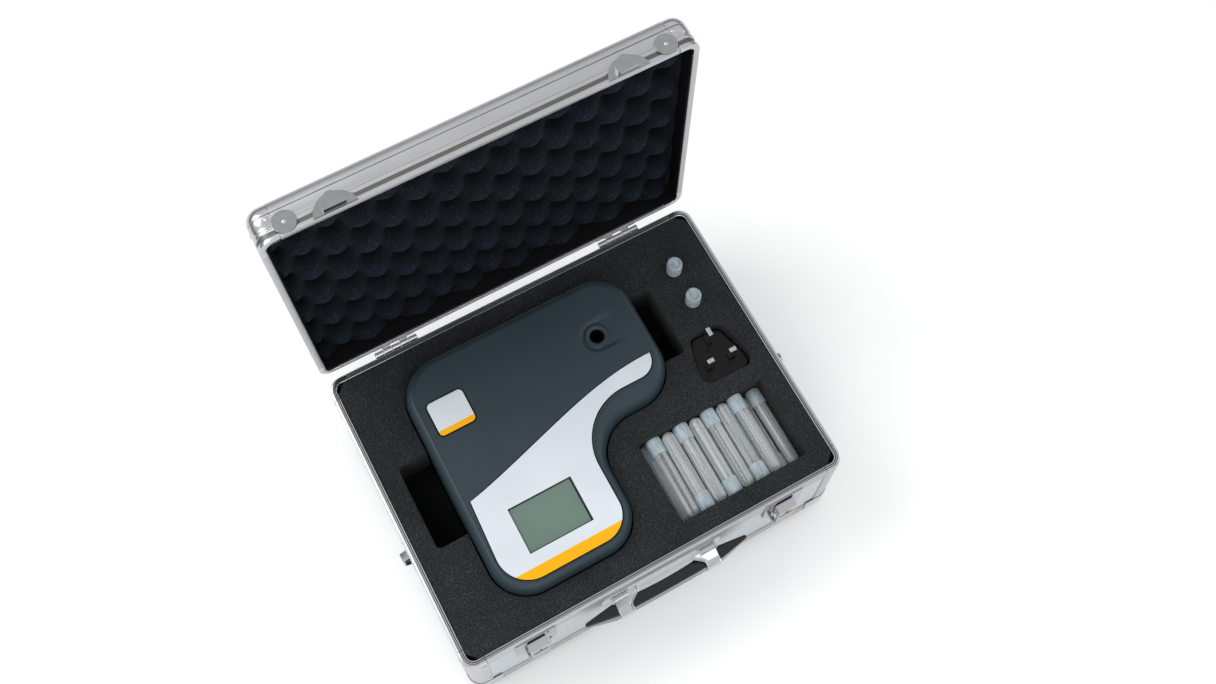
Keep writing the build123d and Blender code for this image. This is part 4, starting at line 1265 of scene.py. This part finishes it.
lidSection += [(11.5, 33.0), (17.5, 33.0), (17.5, 31.4), (11.5, 31.4)]
lidSection += [(11.5 - 9.9 * math.cos(math.radians(a)), 21.5 + 9.9 * math.sin(math.radians(a)))
               for a in range(80, 0, -16)]
lidSection += [(1.6, 20.0), (1.6, 6.0)]


# a thin dark lining strip between the lid's frame and its foam, its near-black also standing in for the
# shadow in that gap
liningSection = [(5.6, 1.6), (6.4, 1.6), (6.6, 2.4), (6.6, 27.0), (5.6, 27.0)]


def planStations(values, halfX, halfY):
    # (centre of turn, direction, cut, corner, the corner's signs on its arc) round the plan, anticlockwise
    r = values["planRadius"]
    leg, gap = values["cornerLeg"], values["seam"]
    stations = []
    for turn, (sx, sy) in enumerate(((1, -1), (1, 1), (-1, 1), (-1, -1))):
        centre = Vector((sx * (halfX - r), sy * (halfY - r)))
        start = math.radians(-90 + 90 * turn)
        along = Vector((math.cos(start - math.pi / 2), math.sin(start - math.pi / 2)))
        out = Vector((math.cos(start), math.sin(start)))
        for back, cut in ((leg - r + gap, 0), (leg - r, 1), (leg - r - gap, 0)):
            stations.append((centre + along * back, out, cut, turn, None))
        for step in range(values["arcSteps"] + 1):
            angle = start + math.pi / 2 * step / values["arcSteps"]
            stations.append((centre, Vector((math.cos(angle), math.sin(angle))), 0, turn, Vector((sx, sy))))
        out = Vector((math.cos(start + math.pi / 2), math.sin(start + math.pi / 2)))
        along = Vector((math.cos(start + math.pi), math.sin(start + math.pi)))
        for back, cut in ((leg - r - gap, 0), (leg - r, 1), (leg - r + gap, 0)):
            stations.append((centre + along * back, out, cut, turn, None))
    return stations


def sweptFrame(name, section, values, middle, halfX, halfY, place, corners, plain="drawnAluminium"):
    r = values["planRadius"]
    count = len(section)
    bm = bmesh.new()
    rings = []
    stations = planStations(values, halfX, halfY)
    for centre, out, cut, _, signs in stations:
        ring = []
        for i, point in enumerate(section):
            before, after = section[i - 1], section[(i + 1) % count]
            edge = Vector((after[0] - before[0], after[1] - before[1])).normalized()
            inset = point[0] + edge.y * values["seamCut"] * cut
            height = point[1] - edge.x * values["seamCut"] * cut
            reach = r - inset
            # insets past the turn's own radius meet in a square corner
            spot = centre + (signs if signs and reach < 0 else out) * reach
            ring.append(bm.verts.new(place(middle + spot * mm, height * mm)))
        rings.append(ring)
    for k, ring in enumerate(rings):
        follow = rings[(k + 1) % len(rings)]
        corner = stations[k][3] == stations[(k + 1) % len(rings)][3]
        for i in range(count):
            j = (i + 1) % count
            face = bm.faces.new((ring[i], ring[j], follow[j], follow[i]))
            groove = section[i][2] if len(section[i]) > 2 else 0
            # faces marked 1 take the painted groove shade, corner arcs the rolled finish
            face.material_index = 1 if groove == 1 else 2 if corner and corners else 0
    return closedPiece(name, bm, [plain, "grooveShadeAluminium", "rolledAluminium"], smoothAngle=35)


def caseFrames(values):
    low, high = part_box("base_rim_rails")
    wide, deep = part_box("base_rim_corners")
    low = Vector([min(a, b) for a, b in zip(low, wide)])
    high = Vector([max(a, b) for a, b in zip(high, deep)])
    half = (high - low) / 2 / mm
    middle = ((low + high) / 2).xy
    base = sweptFrame("rimFrame", baseSection, values, middle, half.x, half.y,
                      lambda spot, height: (spot.x, spot.y, high.z + height), True)
    finishPiece(base, "case", ["base_rim_rails", "base_rim_corners"])
    low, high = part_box("lid_corners")
    half = (high - low) / 2 / mm
    centre = (low + high) / 2
    middle = Vector((centre.x, centre.z))
    lid = sweptFrame("lidFrame", lidSection, values, middle, half.x, half.z,
                     lambda spot, height: (spot.x, low.y + height, spot.y), True)
    finishPiece(lid, "lid", ["lid_side_rails", "lid_corners"])
    lining = sweptFrame("lidLining", liningSection, values, middle, half.x, half.z,
                        lambda spot, height: (spot.x, low.y + height, spot.y), False, "slotShadow")
    finishPiece(lining, "lid")


caseFrames(frameValues)
print("frames made")


# handle links: pressed saddles with turned-up edges

linkValues = {
    "centre": 41.0,  # how far each link stands from the middle of the handle, mm
    "eyeRadii": (3.05, 1.75),
    "eyeDrop": 3.1,
    "eyeWidth": 13.0,
    "eyeSpokes": 20,
    "outer": 6.5,  # half the width over the grip, mm
    "flare": 9.5,  # how far the inner edge sweeps towards the middle
    "thick": 1.5,
    "lip": 1.5,
    "steps": 14,
}


def linkSaddle(bm, side, values):
    low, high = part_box("handle_links")
    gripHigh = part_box("handle_grip")[1]
    nearY, farY = high.y - 1.2 * mm, low.y
    topFar = gripHigh.z + 1.7 * mm
    middle = side * values["centre"] * mm
    steps = values["steps"]
    rows = []
    for k in range(steps + 1):
        part = k / steps
        y = nearY + (farY - nearY) * part
        z = high.z - 0.4 * mm + (topFar - high.z + 0.4 * mm) * smoothStep(0, 0.8, part)
        flare = values["flare"] * (1 - smoothStep(0.18, 0.72, part))
        outside = middle + side * values["outer"] * mm
        inside = middle - side * (values["outer"] + flare) * mm
        rows.append((y, z, outside, inside))
    y, z, outside, inside = rows[-1]
    for drop in (0.6, 2.0, 7.0, 13.0):
        rows.append((farY, z - drop * mm, outside, inside))
    rings = []
    for index, (y, z, outside, inside) in enumerate(rows):
        wrapped = index > steps
        lift = values["lip"] * mm
        thick = values["thick"] * mm
        across = [(outside, 0.25), (outside - side * 0.5 * mm, 0.0), (inside + side * 1.8 * mm, 0.0),
                  (inside + side * 0.7 * mm, 0.9), (inside, 1.0)]
        top, under = [], []
        for x, raised in across:
            if wrapped:
                top.append(Vector((x, y, z)))
                under.append(Vector((x, y + thick, z)))
            else:
                top.append(Vector((x, y, z + lift * raised)))
                underY = max(y, farY + thick) if index == steps else y
                under.append(Vector((x, underY, z + lift * raised - thick)))
        rings.append([bm.verts.new(p) for p in top + list(reversed(under))])
    for lower, upper in zip(rings, rings[1:]):
        bridge(bm, lower, upper)
    bm.faces.new(rings[0])
    bm.faces.new(list(reversed(rings[-1])))


def linkEyes(bm, side, values):
    # the curl round the pivot pin
    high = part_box("handle_links")[1]
    spokes, width = values["eyeSpokes"], values["eyeWidth"]
    centreY, centreZ = high.y - values["eyeDrop"] * mm, high.z - values["eyeDrop"] * mm
    loops = []
    for x in (-width / 2, width / 2):
        for radius in values["eyeRadii"]:
            place = side * values["centre"] * mm + x * mm
            turns = [math.tau * k / spokes for k in range(spokes)]
            loops.append([bm.verts.new((place, centreY + radius * mm * math.cos(turn),
                                        centreZ + radius * mm * math.sin(turn))) for turn in turns])
    bridge(bm, loops[0], loops[2])
    bridge(bm, loops[3], loops[1])
    bridge(bm, loops[1], loops[0])
    bridge(bm, loops[2], loops[3])


def handleLinks(values):
    bm = bmesh.new()
    for side in (-1, 1):
        linkSaddle(bm, side, values)
        linkEyes(bm, side, values)
    piece = closedPiece("handleLinks", bm, ["polishedPlate"], smoothAngle=50)
    addBevel(piece, 0.25, 2, 40)
    finishPiece(piece, "handle", ["handle_links"])


handleLinks(linkValues)
print("handle made")


# small parts of the latches

latchDetail = {
    "slot": (15.0, 5.6, 0.5),  # width, height and thickness of the dark opening over the lever, mm
    "slotLift": 0.8,
    "plateThick": 1.4,
    "line": (13.0, 0.7, 0.3),
    "lineDrop": 17.0,  # from the lever's top
    "keyRadius": 3.1,
    "keyDrop": 10.0,
    "keySlot": (0.9, 3.4, 0.35),
    "loopRadius": 4.2,
    "loopWire": 0.75,
}


def boxIn(bm, low, high):
    made = bmesh.ops.create_cube(bm, size=1.0)["verts"]
    for vert in made:
        vert.co = Vector([a + (b - a) * (part + 0.5) for a, b, part in zip(low, high, vert.co)])


def faceBox(bm, x, z, y, size):
    # a thin box on a face that looks towards the front
    wide, tall, thick = (value * mm for value in size)
    boxIn(bm, (x - wide / 2, y - thick, z - tall / 2), (x + wide / 2, y + 0.2 * mm, z + tall / 2))


def latchParts(values):
    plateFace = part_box("latch_plates")[1].y - values["plateThick"] * mm
    dark, loops = bmesh.new(), bmesh.new()
    for hand in ("left", "right"):
        low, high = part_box(f"latch_lever_{hand}")
        x = (low.x + high.x) / 2
        slotMiddle = high.z + (values["slotLift"] + values["slot"][1] / 2) * mm
        # painted shadow: a near-black box on the plate stands in for the shade inside the opening over the
        # lever
        faceBox(dark, x, slotMiddle, plateFace, values["slot"])
        lines = bmesh.new()
        faceBox(lines, x, high.z - values["lineDrop"] * mm, low.y, values["line"])
        if hand == "left":
            faceBox(lines, x, high.z - values["keyDrop"] * mm, low.y, (2.0, 2.0, 0.3))
        lever = f"latch_lever_{hand}"
        line = closedPiece(f"latchLine{hand.title()}", lines, ["slotShadow"])
        finishPiece(line, nodeBody[lever])
        # the wire loop that draws the lid down, beside the lever
        side = 1 if hand == "left" else -1
        centre = Vector((x + side * 11.5 * mm, low.y + 3.0 * mm, high.z - 9.0 * mm))
        addRing(loops, centre, values)
    for bm, name, material in ((dark, "latchSlots", "slotShadow"), (loops, "latchLoops", "brightSteel")):
        finishPiece(closedPiece(name, bm, [material]), "case")
    low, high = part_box("latch_lever_right")
    key = bmesh.new()
    x, z = (low.x + high.x) / 2, high.z - values["keyDrop"] * mm
    rings = []
    keyRadius = values["keyRadius"]
    for radius, rise in ((keyRadius, -0.2), (keyRadius, 0.3), (keyRadius - 0.4, 0.45)):
        rings.append([key.verts.new((x + radius * mm * math.cos(math.tau * k / 28), low.y - rise * mm,
                                     z + radius * mm * math.sin(math.tau * k / 28))) for k in range(28)])
    for lower, upper in zip(rings, rings[1:]):
        bridge(key, lower, upper)
    key.faces.new(rings[0])
    key.faces.new(list(reversed(rings[-1])))
    slot = bmesh.new()
    faceBox(slot, x, z, low.y - 0.45 * mm, values["keySlot"])
    for bm, name, material in ((key, "latchKeyRing", "keyBrass"), (slot, "latchKeySlot", "slotShadow")):
        finishPiece(closedPiece(name, bm, [material]), nodeBody["latch_lever_right"])


def addRing(bm, centre, values):
    # an upright ring of round wire, its axis across the case
    turns, sides = 26, 10
    rings = []
    for k in range(turns):
        out = Vector((0, math.cos(math.tau * k / turns) * 0.55, math.sin(math.tau * k / turns)))
        ring = []
        for j in range(sides):
            swell = out * math.cos(math.tau * j / sides) + Vector((math.sin(math.tau * j / sides), 0, 0))
            spot = centre + out * values["loopRadius"] * mm + swell * values["loopWire"] * mm
            ring.append(bm.verts.new(spot))
        rings.append(ring)
    for k, ring in enumerate(rings):
        bridge(bm, ring, rings[(k + 1) % turns])


latchParts(latchDetail)
print("latch details made")


# plug head

for node, name, material, bevel in (
    ("plug_body", "plugBody", "plugGloss", 0.9),
    ("plug_pins", "plugPins", "satinPlate", 0.35),
):
    refineNode(node, name, material, bevel, 3)
print("plug head made")
